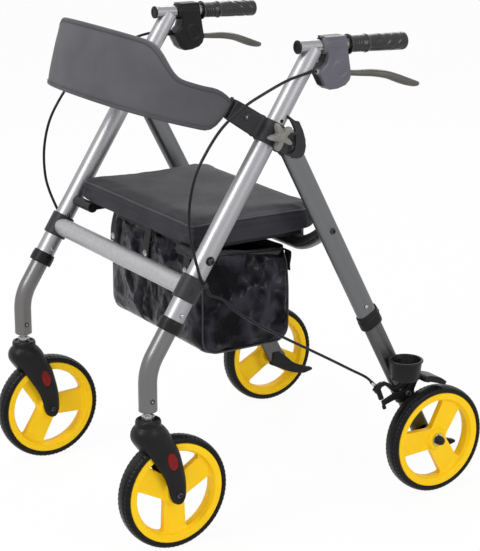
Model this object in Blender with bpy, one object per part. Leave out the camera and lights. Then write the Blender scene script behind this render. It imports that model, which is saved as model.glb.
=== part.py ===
"""Rollator: a folding four-wheeled walking frame with a padded seat, a bag and cable brakes.

Metres, +Z up. X runs across the frame and +X is the user's left. The user stands at +Y and walks
towards -Y. The origin is on the floor, under the middle of the frame's outer box.
"""
import bpy
import bmesh
import math
from mathutils import Matrix, Vector

# Clearances
FIT = 0.0003
SLIDE = 0.0004
RUNNING = 0.0003

# Plan and wheels
FRAME_HALF = 0.241
REAR_LEG_OUTSET = 0.005
REAR_WHEEL_OUTSET = 0.035
WHEEL_RADIUS = 0.100
FRONT_WHEEL_Y = -0.262
REAR_AXLE_Y = 0.262
CASTER_TRAIL = 0.045
TYRE_WIDTH = 0.031
TYRE_DEPTH = 0.0115
TYRE_SHOULDER = 0.0045
RIM_LIP = 0.0007
RIM_FACE = 0.009
DISC_HALF = 0.0055
HUB_RADIUS = 0.020
HUB_HALF = 0.0135
SPOKE_HALF = 0.0185
SPOKE_FLARE = 0.045
OPENING_RADIUS = 0.073
OPENING_FILLET = 0.009
DISC_RADIUS = 0.0742
WHEEL_STEPS = 24

# Facets
ROUND_STEPS = 16
BOLT_STEPS = 12
PIN_STEPS = 8
BAR_STEPS = 14
CROSSBAR_STEPS = 12
CUP_STEPS = 18

# Front frame
FRONT_RAKE = math.radians(32.64)
BEND_Z = 0.325
BEND_RADIUS = 0.090
FRONT_TUBE_RADIUS = 0.0175
FRONT_TUBE_WALL = 0.0013
FRONT_TUBE_START = 0.078
FRONT_LEG_OVERLAP = 0.082
STEM_COLLAR_HEIGHT = 0.012
COLLAR_WALL = 0.0036
COLLAR_LENGTH = 0.022
COLLAR_GRIP = 0.0145
TEE_S = 0.1493
TEE_LENGTH = 0.042
TEE_WALL = 0.0037
TEE_SPIGOT = 0.025
CROSSBAR_RADIUS = 0.0165
CROSSBAR_WALL = 0.0015
EYELET_RADIUS = 0.0048
EYELET_HOLE = 0.0022
EYELET_HALF = 0.0016
BUTTON_RADIUS = 0.0035
BUTTON_PROUD = 0.0025
BUTTON_LENGTH = 0.0125
BUTTON_TRAVEL = 0.004
FRONT_BUTTON_S = 0.1035

# Top bracket, socket and pivot
KNOB_S = 0.4382
RING_HALF = 0.020
RING_WALL = 0.0042
RING_LIP = 0.0022
SOCKET_REACH = 0.091
SOCKET_HALF_HEIGHT = 0.0195
SOCKET_END_HALF_HEIGHT = 0.0175
SOCKET_HALF_WIDTH = 0.0085
SOCKET_SLOT_DEPTH = 0.0175
TONGUE_HALF_HEIGHT = 0.012
TONGUE_HALF_THICKNESS = 0.0025
PIVOT_BEHIND = 0.0434
PIVOT_BELOW = 0.0030
FOLD_RANGE = math.radians(32.0)
CHEEK_WALL = 0.0046
PIVOT_PIN_RADIUS = 0.004
STAR_TIP = 0.024
STAR_VALLEY = 0.0098
STAR_SHARPNESS = 1.5
STAR_POINTS = 25
STAR_PHASE = math.radians(36.0)
STAR_THICKNESS = 0.013
STAR_HUB_RADIUS = 0.0085
STAR_HUB_LENGTH = 0.0055
KNOB_SCREW_RADIUS = 0.003

# Handles
HANDLE_OVERLAP = 0.140
HANDLE_HOLE_PITCH = 0.0254
HANDLE_HOLE_RADIUS = 0.0033
HANDLE_HOLE_DEPTH = 0.007
HANDLE_HOLES_BELOW = 4
HANDLE_HOLES_ABOVE = 1
BAR_RADIUS = 0.011
BAR_PITCH = math.radians(1.75)
BAR_FRONT_Y = -0.0150
BAR_REAR_Y = 0.196
BAR_Z = 0.8315
CAP_THICKNESS = 0.0032
CAP_PROUD = 0.0006
GRIP_START_Y = 0.082
GRIP_RADIUS = 0.0153
GRIP_NECK_RADIUS = 0.0135
GRIP_FLANGE_RADIUS = 0.0175
GRIP_RIDGE_Y = 0.119
GRIP_END_WALL = 0.005
HOUSING_Y = 0.050
HOUSING_HALF = 0.0135
HOUSING_BEVEL = 0.0025
LEVER_PIVOT_Y = 0.0595
LEVER_DROP = 0.0457
LEVER_HUB_RADIUS = 0.0075
LEVER_HUB_HALF = 0.0055
LEVER_PIN_RADIUS = 0.003
LEVER_SPLAY = 0.09
ADJUSTER_RADIUS = 0.0045
ADJUSTER_LENGTH = 0.011
ADJUSTER_OUT = 0.0075

# Casters
STEM_RADIUS = 0.006
STEM_COLLAR_RADIUS = 0.0085
STEM_DEPTH = 0.055
FORK_RISE = 0.037
FORK_STEM_DEPTH = 0.039
WHEEL_CLEARANCE = 0.004
BLADE_GAP = 0.0024
AXLE_RADIUS = 0.004
BOLT_HEAD_RADIUS = 0.007
BOLT_HEAD_PROUD = 0.002
REFLECTOR_HALF_WIDTH = 0.0075
REFLECTOR_HALF_LENGTH = 0.0165
REFLECTOR_DEPTH = 0.0012

# Rear frame
REAR_TUBE_WIDTH = 0.038
REAR_TUBE_THICKNESS = 0.020
REAR_TUBE_WALL = 0.0010
REAR_TUBE_START = 0.2617
REAR_LEG_OVERLAP = 0.120
REAR_COLLAR_LENGTH = 0.028
REAR_COLLAR_WALL = 0.0032
REAR_COLLAR_GRIP = 0.022
REAR_BUTTON_S = 0.3005
STUB_RADIUS = 0.006
STUB_SPACER_RADIUS = 0.010
STUB_HEAD_RADIUS = 0.009
STUB_PROUD = 0.0315
REAR_CROSSBAR_RADIUS = 0.011
REAR_CROSSBAR_MID_Z = 0.466
REAR_CROSSBAR_END_Z = 0.512
REAR_CROSSBAR_FLAT_HALF = 0.140
REAR_CROSSBAR_CURVE = 1.7
REAR_CROSSBAR_Y = 0.053
SLEEVE_WALL = 0.0026
SLEEVE_END_GAP = 0.008
PEDAL_WIDTH = 0.0118

# Brakes and cup
BRAKE_PIVOT_S = 0.1016
BRAKE_SLEEVE_LENGTH = 0.038
BRAKE_SLEEVE_WALL = 0.0030
BRAKE_PIN_RADIUS = 0.0035
ROCKER_THICKNESS = 0.0048
ROCKER_GAP = 0.0005
ROCKER_HALF_WIDTH = 0.0038
SHOE_OVERHANG = 0.0015
BRAKE_GAP = 0.0032
CUP_OUTSET = 0.038
CUP_RADIUS = 0.0285
CUP_WALL = 0.0023
CUP_Y = 0.193
CUP_RISE = 0.163
CUP_DEPTH = 0.041
CUP_TAPER = 0.0035
CUP_LIP_HEIGHT = 0.005

# Seat, bag and backrest
SEAT_SIDE_GAP = 0.0235
SEAT_FRONT_Y = -0.190
SEAT_REAR_Y = 0.075
SEAT_BOTTOM_Z = 0.505
SEAT_SIDE_HEIGHT = 0.040
SEAT_CROWN = 0.004
SEAT_BULGE = 0.003
SEAT_SEAM_FRACTION = 0.68
SEAT_SEAM_DEPTH = 0.0022
SEAT_FRONT_CORNER = 0.028
SEAT_REAR_CORNER = 0.042
BOARD_THICKNESS = 0.012
BOARD_INSET = 0.024
BOARD_ARM_WIDTH = 0.016
SEAT_HINGE_S = 0.2048
SEAT_PIN_RADIUS = 0.004
SEAT_BOSS_RADIUS = 0.0095
SEAT_PIN_HEAD_RADIUS = 0.0055
SEAT_PIN_HEAD_LENGTH = 0.0026
SADDLE_X = 0.118
SADDLE_HALF_WIDTH = 0.017
SADDLE_HALF_LENGTH = 0.0175
BAG_INSET = 0.034
BAG_FRONT_Y = -0.161
BAG_REAR_Y = 0.026
BAG_BOTTOM_Z = 0.296
BAG_CORNER = 0.016
BAG_WALL = 0.003
BACK_INSET = 0.005
BACK_TOP_FRONT = (-0.2681, 0.8576)
BACK_BOTTOM_FRONT = (-0.3022, 0.7416)
BACK_TOP_SIDE = (-0.144, 0.8086)
BACK_BOTTOM_SIDE = (-0.168, 0.7059)
BACK_EXPONENT = 2.62
BACK_STRAP_FRACTION = 0.61
BACK_STRAP_HALF = 0.0045
BACK_PAD_HALF = 0.0075

# Cables
CABLE_RADIUS = 0.0025
CABLE_PITCH = 4.4
CLIP_RADIUS = 0.0050
CLIP_HALF = 0.004
CLIP_S = 0.1655
CLIP_BEHIND = 0.0105

# Values that follow from the sizes above
REAR_LEG_HALF = FRAME_HALF + REAR_LEG_OUTSET
REAR_WHEEL_HALF = REAR_LEG_HALF + REAR_WHEEL_OUTSET
STUB_REACH = REAR_WHEEL_HALF + STUB_PROUD
SEAT_HALF_WIDTH = FRAME_HALF - FRONT_TUBE_RADIUS - SEAT_SIDE_GAP
BAG_HALF_WIDTH = SEAT_HALF_WIDTH - BAG_INSET
BACK_HALF_WIDTH = FRAME_HALF - BACK_INSET
STEM_Y = FRONT_WHEEL_Y - CASTER_TRAIL
FORK_TOP_Z = 2 * WHEEL_RADIUS + FORK_RISE
FRONT_LEG_END_Z = FORK_TOP_Z + STEM_COLLAR_HEIGHT
CUP_RIM_Z = WHEEL_RADIUS + CUP_RISE
FRONT_BORE = FRONT_TUBE_RADIUS - FRONT_TUBE_WALL
INNER_TUBE_RADIUS = FRONT_BORE - SLIDE
FRONT_LEG_TOP_S = FRONT_TUBE_START + FRONT_LEG_OVERLAP
FRONT_TUBE_END = KNOB_S + RING_HALF - RING_LIP
TEE_RADIUS = FRONT_TUBE_RADIUS + TEE_WALL
RING_RADIUS = FRONT_TUBE_RADIUS + RING_WALL
RIM_RADIUS = WHEEL_RADIUS - TYRE_DEPTH
RIM_HALF = TYRE_WIDTH / 2 - RIM_LIP
BLADE_INNER = TYRE_WIDTH / 2 + BLADE_GAP
BLADE_OUTER = 0.0262
REAR_LEG_THICKNESS = REAR_TUBE_THICKNESS - 2 * REAR_TUBE_WALL - 2 * FIT
REAR_LEG_WIDTH = REAR_TUBE_WIDTH - 2 * REAR_TUBE_WALL - 2 * FIT
REAR_LEG_TOP_S = REAR_TUBE_START + REAR_LEG_OVERLAP
BRAKE_SLEEVE_HALF = REAR_LEG_THICKNESS / 2 + FIT + BRAKE_SLEEVE_WALL
BOARD_TOP_Z = SEAT_BOTTOM_Z - FIT

REAR_CROSSBAR_END = REAR_LEG_HALF - REAR_TUBE_THICKNESS / 2 - FIT

ACROSS = Vector((1, 0, 0))
ALONG_TRAVEL = Vector((0, 1, 0))
UP = Vector((0, 0, 1))
FRONT_UP = Vector((0, math.sin(FRONT_RAKE), math.cos(FRONT_RAKE)))
FRONT_AHEAD = Vector((0, -math.cos(FRONT_RAKE), math.sin(FRONT_RAKE)))
FRONT_BEND = Vector((FRAME_HALF, STEM_Y, BEND_Z))
REAR_AXLE = Vector((REAR_LEG_HALF, REAR_AXLE_Y, WHEEL_RADIUS))
REAR_PIVOT = (FRONT_BEND + FRONT_UP * (KNOB_S - PIVOT_BELOW) - FRONT_AHEAD * PIVOT_BEHIND
              + ACROSS * REAR_LEG_OUTSET)
PIVOT_LENGTH = (REAR_PIVOT - REAR_AXLE).length
REAR_RAKE = math.atan2(REAR_AXLE.y - REAR_PIVOT.y, REAR_PIVOT.z - REAR_AXLE.z)
REAR_UP = Vector((0, -math.sin(REAR_RAKE), math.cos(REAR_RAKE)))
REAR_BEHIND = Vector((0, math.cos(REAR_RAKE), math.sin(REAR_RAKE)))
BAR_ALONG = Vector((0, math.cos(BAR_PITCH), -math.sin(BAR_PITCH)))
BAR_MIDDLE = Vector((FRAME_HALF, 0, BAR_Z))
SIDES = ((1, "left"), (-1, "right"))


def front_point(along, ahead=0.0, out=0.0):
    """A point by its distance up the front tube's axis, ahead of it and outwards from it."""
    return FRONT_BEND + FRONT_UP * along + FRONT_AHEAD * ahead + ACROSS * out


def rear_point(along, behind=0.0, out=0.0):
    """A point by its distance up the rear leg's axis, behind it and outwards from it."""
    return REAR_AXLE + REAR_UP * along + REAR_BEHIND * behind + ACROSS * out


def bar_point(y, above=0.0, out=0.0):
    """A point by its y along the handlebar's axis, above it and outwards from it."""
    return BAR_MIDDLE + BAR_ALONG * (y / math.cos(BAR_PITCH)) + UP * above + ACROSS * out


# Sections and outlines
def circle(radius, count=ROUND_STEPS):
    return [(radius * math.cos(2 * math.pi * i / count), radius * math.sin(2 * math.pi * i / count))
            for i in range(count)]


def rounded(half_a, half_b, power=4.0, count=16):
    """A superellipse: power 2 is an ellipse, and higher powers are squarer."""
    points = []
    for i in range(count):
        turn = 2 * math.pi * (i + 0.5) / count
        a, b = math.cos(turn), math.sin(turn)
        points.append((half_a * math.copysign(abs(a) ** (2 / power), a),
                       half_b * math.copysign(abs(b) ** (2 / power), b)))
    return points


def stadium(thickness, width, arc=4):
    """A flat-oval tube's section: flat faces across the thickness and round edges."""
    radius = min(thickness, width) / 2
    reach = max(width / 2 - radius, 0.0)
    points = []
    for end, start in ((1, 0.0), (-1, math.pi)):
        for i in range(arc + 1):
            turn = start + math.pi * i / arc
            points.append((radius * math.cos(turn), end * reach + radius * math.sin(turn)))
    return points


def ribbon(path, halves):
    """The outline of a strip that follows a path, with its own half width at each point."""
    left, right = [], []
    for i, point in enumerate(path):
        before = Vector(path[max(i - 1, 0)])
        after = Vector(path[min(i + 1, len(path) - 1)])
        along = (after - before).normalized()
        normal = Vector((-along.y, along.x))
        left.append(tuple(Vector(point) + normal * halves[i]))
        right.append(tuple(Vector(point) - normal * halves[i]))
    return left + right[::-1]


def arc_points(centre, radius, start, end, count):
    return [(centre[0] + radius * math.cos(start + (end - start) * i / count),
             centre[1] + radius * math.sin(start + (end - start) * i / count))
            for i in range(count + 1)]


def smooth_step(value):
    value = min(max(value, 0.0), 1.0)
    return value * value * (3 - 2 * value)


# Solids from rings of points
def loft(rings, closed=False):
    """Vertices and faces that join rings of equal counts, with caps unless the rings close up."""
    count = len(rings[0])
    points = [point for ring in rings for point in ring]
    faces = []
    last = len(rings) if closed else len(rings) - 1
    for i in range(last):
        a, b = i * count, ((i + 1) % len(rings)) * count
        for j in range(count):
            k = (j + 1) % count
            faces.append((a + j, a + k, b + k, b + j))
    if not closed:
        faces.append(tuple(range(count))[::-1])
        faces.append(tuple(range((len(rings) - 1) * count, len(rings) * count)))
    return points, faces


def path_frames(path, across):
    """At each path point, the section's two axes: across, and square to it and to the path."""
    frames = []
    for i, point in enumerate(path):
        before = path[max(i - 1, 0)]
        after = path[min(i + 1, len(path) - 1)]
        along = (after - before).normalized()
        side = (across - along * across.dot(along)).normalized()
        frames.append((point, side, along.cross(side)))
    return frames


def sweep_rings(path, sections, across=ACROSS):
    """Rings along a path. One section serves every point, or each has its own."""
    rings = []
    for i, (point, a, b) in enumerate(path_frames(path, across)):
        section = sections[i] if isinstance(sections[0], list) else sections
        rings.append([point + a * u + b * v for u, v in section])
    return rings


def sweep(path, sections, across=ACROSS):
    return loft(sweep_rings(path, sections, across))


def turn(profile, centre, axis, steps=ROUND_STEPS, closed=False):
    """A turned solid from (radius, height) points along an axis."""
    a = UP if abs(axis.x) > 0.8 else ACROSS
    a = (a - axis * a.dot(axis)).normalized()
    b = axis.cross(a)
    rings = []
    for radius, height in profile:
        rings.append([centre + axis * height + (a * u + b * v) * radius
                      for u, v in circle(1.0, steps)])
    return loft(rings, closed)


def pipe(start, end, outer, inner, steps=ROUND_STEPS):
    """A straight tube with an open bore."""
    axis = (end - start).normalized()
    length = (end - start).length
    profile = [(inner, 0), (outer, 0), (outer, length), (inner, length)]
    return turn(profile, start, axis, steps, closed=True)


def rod(start, end, radius, steps=BOLT_STEPS):
    axis = (end - start).normalized()
    return turn([(radius, 0), (radius, (end - start).length)], start, axis, steps)


def plate(outline, low_x, high_x):
    """A (y, z) outline extruded across the frame."""
    rings = [[Vector((x, y, z)) for y, z in outline] for x in (low_x, high_x)]
    return loft(rings)


def block(low, high):
    outline = [(low[1], low[2]), (high[1], low[2]), (high[1], high[2]), (low[1], high[2])]
    return plate(outline, low[0], high[0])


# Objects
def clear_scene():
    for item in list(bpy.data.objects):
        bpy.data.objects.remove(item, do_unlink=True)


def finish(name, color, roughness, metallic=0.0):
    """A plain material with the piece's colour and gloss."""
    material = bpy.data.materials.new(name)
    material.use_nodes = True
    shader = material.node_tree.nodes["Principled BSDF"]
    shader.inputs["Base Color"].default_value = (*color, 1.0)
    shader.inputs["Roughness"].default_value = roughness
    shader.inputs["Metallic"].default_value = metallic
    material.diffuse_color = (*color, 1.0)
    return material


def solid(name, shape, side=1, material=None, pivot=None, sharp=40.0):
    """An object from vertices and faces, mirrored for the right side, with its origin at pivot."""
    points, faces = shape
    origin = Vector(pivot) if pivot else Vector((0, 0, 0))
    origin.x *= side
    mesh = bpy.data.meshes.new(name)
    mesh.from_pydata([Vector((p.x * side, p.y, p.z)) - origin for p in points], [], faces)
    work = bmesh.new()
    work.from_mesh(mesh)
    bmesh.ops.recalc_face_normals(work, faces=work.faces)
    work.to_mesh(mesh)
    work.free()
    mesh.shade_smooth()
    mesh.set_sharp_from_angle(angle=math.radians(sharp))
    item = bpy.data.objects.new(name, mesh)
    item.location = origin
    bpy.context.scene.collection.objects.link(item)
    if material:
        mesh.materials.append(material)
    return item


def combine(item, tool_name, shape, operation, side=1):
    """A Boolean of an object with a hidden tool, which follows the object."""
    tool = solid(item.name + "_" + tool_name, shape, side)
    tool.hide_render = True
    tool.display_type = "WIRE"
    tool.parent = item
    tool.matrix_parent_inverse = Matrix.Translation(item.location).inverted()
    step = item.modifiers.new(tool_name, "BOOLEAN")
    step.operation = operation
    step.object = tool
    step.solver = "EXACT"


def cut(item, tool_name, shape, side=1):
    combine(item, tool_name, shape, "DIFFERENCE", side)


def join(item, tool_name, shape, side=1):
    combine(item, tool_name, shape, "UNION", side)


def soften(item, width, segments=2, angle=35.0):
    step = item.modifiers.new("soften", "BEVEL")
    step.width = width
    step.segments = segments
    step.limit_method = "ANGLE"
    step.angle_limit = math.radians(angle)
    step.use_clamp_overlap = True


def joint_axis(name, place, side=1, parent=None):
    """An empty on a joint's axis."""
    empty = bpy.data.objects.new(name, None)
    empty.empty_display_size = 0.02
    empty.location = Vector((place.x * side, place.y, place.z))
    bpy.context.scene.collection.objects.link(empty)
    if parent:
        attach(parent, empty)
    return empty


def attach(parent, *items):
    for item in items:
        item.parent = parent
        item.matrix_parent_inverse = parent_place(parent).inverted()


def parent_place(item):
    """Where an item that is only shifted, and whose parents are too, stands in the world."""
    return Matrix.Translation(item.location)


# Materials
def make_finishes():
    return {
        "silver": finish("satin_silver", (0.55, 0.55, 0.56), 0.32, 0.9),
        "grey": finish("grey_tube", (0.16, 0.165, 0.17), 0.38, 0.6),
        "crossbar": finish("pale_tube", (0.42, 0.42, 0.42), 0.45, 0.5),
        "black": finish("black_nylon", (0.022, 0.022, 0.024), 0.5),
        "knob": finish("grey_knob", (0.30, 0.30, 0.28), 0.55),
        "rubber": finish("grip_rubber", (0.025, 0.025, 0.028), 0.6),
        "housing": finish("housing_plastic", (0.045, 0.045, 0.055), 0.45),
        "lever": finish("lever_alloy", (0.155, 0.15, 0.125), 0.5, 0.3),
        "tyre": finish("tyre_rubber", (0.018, 0.018, 0.019), 0.65),
        "yellow": finish("yellow_rim", (0.86, 0.52, 0.006), 0.38),
        "steel": finish("zinc_steel", (0.62, 0.62, 0.62), 0.3, 0.95),
        "cushion": finish("seat_fabric", (0.065, 0.065, 0.07), 0.8),
        "back": finish("back_fabric", (0.09, 0.09, 0.095), 0.75),
        "bag": finish("bag_nylon", (0.03, 0.03, 0.038), 0.6),
        "cable": finish("cable_sheath", (0.02, 0.02, 0.02), 0.5),
    }


# Front frame
def front_tube(side, label, finishes):
    tube = solid("front_tube_" + label,
                 pipe(front_point(FRONT_TUBE_START), front_point(FRONT_TUBE_END),
                      FRONT_TUBE_RADIUS, FRONT_BORE), side, finishes["silver"])
    reach = FRONT_TUBE_RADIUS + 0.005
    cut(tube, "button_hole", rod(front_point(FRONT_BUTTON_S), front_point(FRONT_BUTTON_S, out=reach),
                                 BUTTON_RADIUS + FIT, PIN_STEPS), side)
    cut(tube, "seat_bolt_hole", rod(front_point(SEAT_HINGE_S, out=-reach),
                                    front_point(SEAT_HINGE_S, out=reach),
                                    SEAT_PIN_RADIUS + RUNNING, ROUND_STEPS), side)
    cut(tube, "knob_hole", rod(front_point(KNOB_S), front_point(KNOB_S, out=reach),
                               KNOB_SCREW_RADIUS + RUNNING, PIN_STEPS), side)


def front_leg_path():
    """The inner tube's axis: straight down the outer tube, round the bend and down to the caster."""
    tangent = BEND_RADIUS * math.tan(FRONT_RAKE / 2)
    centre = front_point(tangent) - FRONT_AHEAD * BEND_RADIUS
    path = [front_point(FRONT_LEG_TOP_S)]
    steps = 5
    for i in range(steps + 1):
        angle = FRONT_RAKE * (1 - i / steps)
        path.append(centre + Vector((0, -math.cos(angle), math.sin(angle))) * BEND_RADIUS)
    path.append(Vector((FRAME_HALF, STEM_Y, FRONT_LEG_END_Z)))
    return path


def front_leg(side, label, finishes):
    leg = solid("front_leg_" + label, sweep(front_leg_path(), circle(INNER_TUBE_RADIUS)),
                side, finishes["silver"])
    foot = Vector((FRAME_HALF, STEM_Y, FRONT_LEG_END_Z))
    cut(leg, "stem_bore", rod(foot - UP * 0.004, foot + UP * (STEM_DEPTH + 2 * FIT),
                              STEM_RADIUS + RUNNING), side)
    inner = front_point(FRONT_BUTTON_S, out=button_inner(FRONT_TUBE_RADIUS) - BUTTON_TRAVEL - FIT)
    cut(leg, "button_pocket", rod(inner, front_point(FRONT_BUTTON_S, out=INNER_TUBE_RADIUS + 0.003),
                                  BUTTON_RADIUS + FIT, PIN_STEPS), side)


def button_inner(outer_face):
    """How far out from the tube's axis a button's inner end lies."""
    return outer_face + BUTTON_PROUD - BUTTON_LENGTH


def button(name, place, outer_face, side, finishes):
    inner = button_inner(outer_face)
    crown = BUTTON_LENGTH - 0.0012
    profile = [(BUTTON_RADIUS, 0), (BUTTON_RADIUS, crown), (BUTTON_RADIUS * 0.6, BUTTON_LENGTH)]
    start = place + ACROSS * inner
    return solid(name, turn(profile, start, ACROSS, PIN_STEPS), side, finishes["steel"], start)


def front_collar(side, label, finishes):
    outer = FRONT_TUBE_RADIUS + COLLAR_WALL
    top = FRONT_TUBE_START + COLLAR_GRIP
    bottom = top - COLLAR_LENGTH
    shoulder = FRONT_TUBE_START - FIT
    profile = [(INNER_TUBE_RADIUS + FIT, bottom), (outer - 0.0012, bottom), (outer, bottom + 0.0015),
               (outer, top - 0.0015), (outer - 0.0012, top), (FRONT_TUBE_RADIUS + FIT, top),
               (FRONT_TUBE_RADIUS + FIT, shoulder), (INNER_TUBE_RADIUS + FIT, shoulder)]
    solid("front_collar_" + label, turn(profile, FRONT_BEND, FRONT_UP, closed=True),
          side, finishes["black"])


def clip_place():
    """The centre of the cable clip on the tee, just clear of the tee's round side."""
    out = math.sqrt(TEE_RADIUS ** 2 - CLIP_BEHIND ** 2) + CABLE_RADIUS + 0.0010
    return front_point(CLIP_S, -CLIP_BEHIND, out)


def clip_along():
    """The cable's direction through the clip, downwards."""
    return Vector((0.0, 0.50, -0.866)).normalized()


def tee_connector(side, label, finishes):
    low, high = TEE_S - TEE_LENGTH / 2, TEE_S + TEE_LENGTH / 2
    tee = solid("tee_connector_" + label,
                turn([(TEE_RADIUS - 0.001, low), (TEE_RADIUS, low + 0.001), (TEE_RADIUS, high - 0.001),
                      (TEE_RADIUS - 0.001, high)], FRONT_BEND, FRONT_UP), side, finishes["black"])
    spigot = CROSSBAR_RADIUS - CROSSBAR_WALL - FIT
    join(tee, "spigot", rod(front_point(TEE_S, out=-TEE_RADIUS - TEE_SPIGOT), front_point(TEE_S),
                            spigot), side)
    eye = front_point(high + EYELET_RADIUS - 0.0012, 0.004, -(FRONT_TUBE_RADIUS + 0.0016))
    join(tee, "eyelet", rod(eye - ACROSS * EYELET_HALF, eye + ACROSS * EYELET_HALF, EYELET_RADIUS),
         side)
    clip, along = clip_place(), clip_along()
    join(tee, "clip", rod(clip - along * CLIP_HALF, clip + along * CLIP_HALF, CLIP_RADIUS), side)
    cut(tee, "tube_bore", rod(front_point(low - 0.01), front_point(high + 0.02),
                              FRONT_TUBE_RADIUS + FIT, ROUND_STEPS), side)
    cut(tee, "eyelet_hole", rod(eye - ACROSS * 0.01, eye + ACROSS * 0.0015 + ACROSS * EYELET_HALF,
                                EYELET_HOLE, PIN_STEPS), side)
    cut(tee, "clip_bore", rod(clip - along * 0.02, clip + along * 0.02, CABLE_RADIUS + FIT, PIN_STEPS),
        side)


def front_crossbar(finishes):
    middle = front_point(TEE_S)
    reach = FRAME_HALF - TEE_RADIUS * 0.5
    bar = solid("front_crossbar",
                pipe(Vector((-reach, middle.y, middle.z)), Vector((reach, middle.y, middle.z)),
                     CROSSBAR_RADIUS, CROSSBAR_RADIUS - CROSSBAR_WALL), 1, finishes["crossbar"])
    for side, label in SIDES:
        cut(bar, "cope_" + label, rod(front_point(TEE_S - 0.035), front_point(TEE_S + 0.035),
                                      TEE_RADIUS + FIT, ROUND_STEPS), side)


def clevis_outline():
    """The bracket's rear half from the side: it caps the rear tube and ends in a swept-up fin."""
    y, z = REAR_PIVOT.y, REAR_PIVOT.z
    offsets = [(-0.0203, -0.0080), (-0.0063, -0.0135), (0.0067, -0.0185), (0.0165, -0.0175),
               (0.0230, -0.0105), (0.0252, 0.0000), (0.0240, 0.0130), (0.0190, 0.0290),
               (0.0117, 0.0440), (0.0037, 0.0460), (-0.0123, 0.0570), (0.0005, 0.0290)]
    outline = [(y + dy, z + dz) for dy, dz in offsets]
    ring_high = front_point(KNOB_S + RING_HALF * 0.55, -0.006)
    ring_low = front_point(KNOB_S - RING_HALF * 0.85, -0.004)
    return outline + [(ring_high.y, ring_high.z), (ring_low.y, ring_low.z)]


def clevis_slot():
    """The room in the bracket for the rear tube's round top, over the whole fold."""
    centre = (REAR_PIVOT.y, REAR_PIVOT.z)
    reach = REAR_TUBE_WIDTH / 2 + FIT
    folded = REAR_RAKE - FOLD_RANGE
    outline = arc_points(centre, reach, REAR_RAKE, math.pi + folded, 14)
    ahead = Vector((-math.cos(folded), -math.sin(folded)))
    down = Vector((math.sin(folded), -math.cos(folded)))
    outline.append(tuple(Vector(centre) + ahead * reach + down * 0.05))
    behind = Vector((math.cos(REAR_RAKE), math.sin(REAR_RAKE)))
    down = Vector((math.sin(REAR_RAKE), -math.cos(REAR_RAKE)))
    outline.append(tuple(Vector(centre) + behind * reach + down * 0.05))
    return outline


def top_bracket(side, label, finishes):
    low, high = KNOB_S - RING_HALF, KNOB_S + RING_HALF
    bracket = solid("top_bracket_" + label,
                    turn([(RING_RADIUS - 0.0012, low), (RING_RADIUS, low + 0.0012),
                          (RING_RADIUS, high - 0.0012), (RING_RADIUS - 0.0012, high)],
                         FRONT_BEND, FRONT_UP), side, finishes["black"])
    cheek = REAR_TUBE_THICKNESS / 2 + FIT + CHEEK_WALL
    join(bracket, "clevis", plate(clevis_outline(), REAR_LEG_HALF - cheek, REAR_LEG_HALF + cheek), side)
    stations = [0.010, SOCKET_REACH - 0.012, SOCKET_REACH]
    heights = [SOCKET_HALF_HEIGHT, SOCKET_END_HALF_HEIGHT + 0.0008, SOCKET_END_HALF_HEIGHT]
    path = [front_point(KNOB_S, ahead) for ahead in stations]
    sections = [rounded(SOCKET_HALF_WIDTH, height, 6.0, 12) for height in heights]
    join(bracket, "socket", sweep(path, sections), side)
    slack = TONGUE_HALF_THICKNESS + FIT
    slot = [front_point(KNOB_S, SOCKET_REACH - SOCKET_SLOT_DEPTH), front_point(KNOB_S, SOCKET_REACH + 0.01)]
    cut(bracket, "tongue_slot", sweep(slot, rounded(slack, TONGUE_HALF_HEIGHT + FIT, 12.0, 12)), side)
    step = FRONT_TUBE_END + FIT
    cut(bracket, "tube_bore", turn([(FRONT_TUBE_RADIUS + FIT, low - 0.02), (FRONT_TUBE_RADIUS + FIT, step),
                                    (INNER_TUBE_RADIUS + FIT, step), (INNER_TUBE_RADIUS + FIT, high + 0.02)],
                                   FRONT_BEND, FRONT_UP), side)
    cut(bracket, "rear_slot", plate(clevis_slot(), REAR_LEG_HALF - REAR_TUBE_THICKNESS / 2 - FIT,
                                    REAR_LEG_HALF + REAR_TUBE_THICKNESS / 2 + FIT), side)
    join(bracket, "pivot_pin", rod(REAR_PIVOT - ACROSS * (cheek - 0.001),
                                   REAR_PIVOT + ACROSS * (cheek + 0.0015), PIVOT_PIN_RADIUS), side)
    cut(bracket, "knob_hole", rod(front_point(KNOB_S), front_point(KNOB_S, out=RING_RADIUS + 0.01),
                                  KNOB_SCREW_RADIUS + RUNNING, PIN_STEPS), side)


def star_knob(side, label, finishes):
    """Five arms from one formula: the radius swells and shrinks five times round the knob."""
    base = RING_RADIUS + 2 * FIT
    centre = front_point(KNOB_S)
    outline = []
    for i in range(STAR_POINTS):
        angle = 2 * math.pi * i / STAR_POINTS
        swell = ((1 + math.cos(5 * (angle - STAR_PHASE))) / 2) ** STAR_SHARPNESS
        radius = STAR_VALLEY + (STAR_TIP - STAR_VALLEY) * swell
        outline.append((radius * math.cos(angle), radius * math.sin(angle)))
    face = base + STAR_HUB_LENGTH
    layers = [(0.92, face), (1.0, face + 0.0015), (1.0, face + STAR_THICKNESS - 0.002),
              (0.90, face + STAR_THICKNESS)]
    rings = [[centre + Vector((x, y * scale, z * scale)) for y, z in outline] for scale, x in layers]
    knob = solid("star_knob_" + label, loft(rings), side, finishes["knob"], centre)
    join(knob, "hub", rod(centre + ACROSS * base, centre + ACROSS * (face + 0.002), STAR_HUB_RADIUS), side)
    tip = INNER_TUBE_RADIUS + FIT
    join(knob, "screw", rod(centre + ACROSS * tip, centre + ACROSS * (base + 0.002), KNOB_SCREW_RADIUS,
                            PIN_STEPS), side)
    return knob


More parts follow.
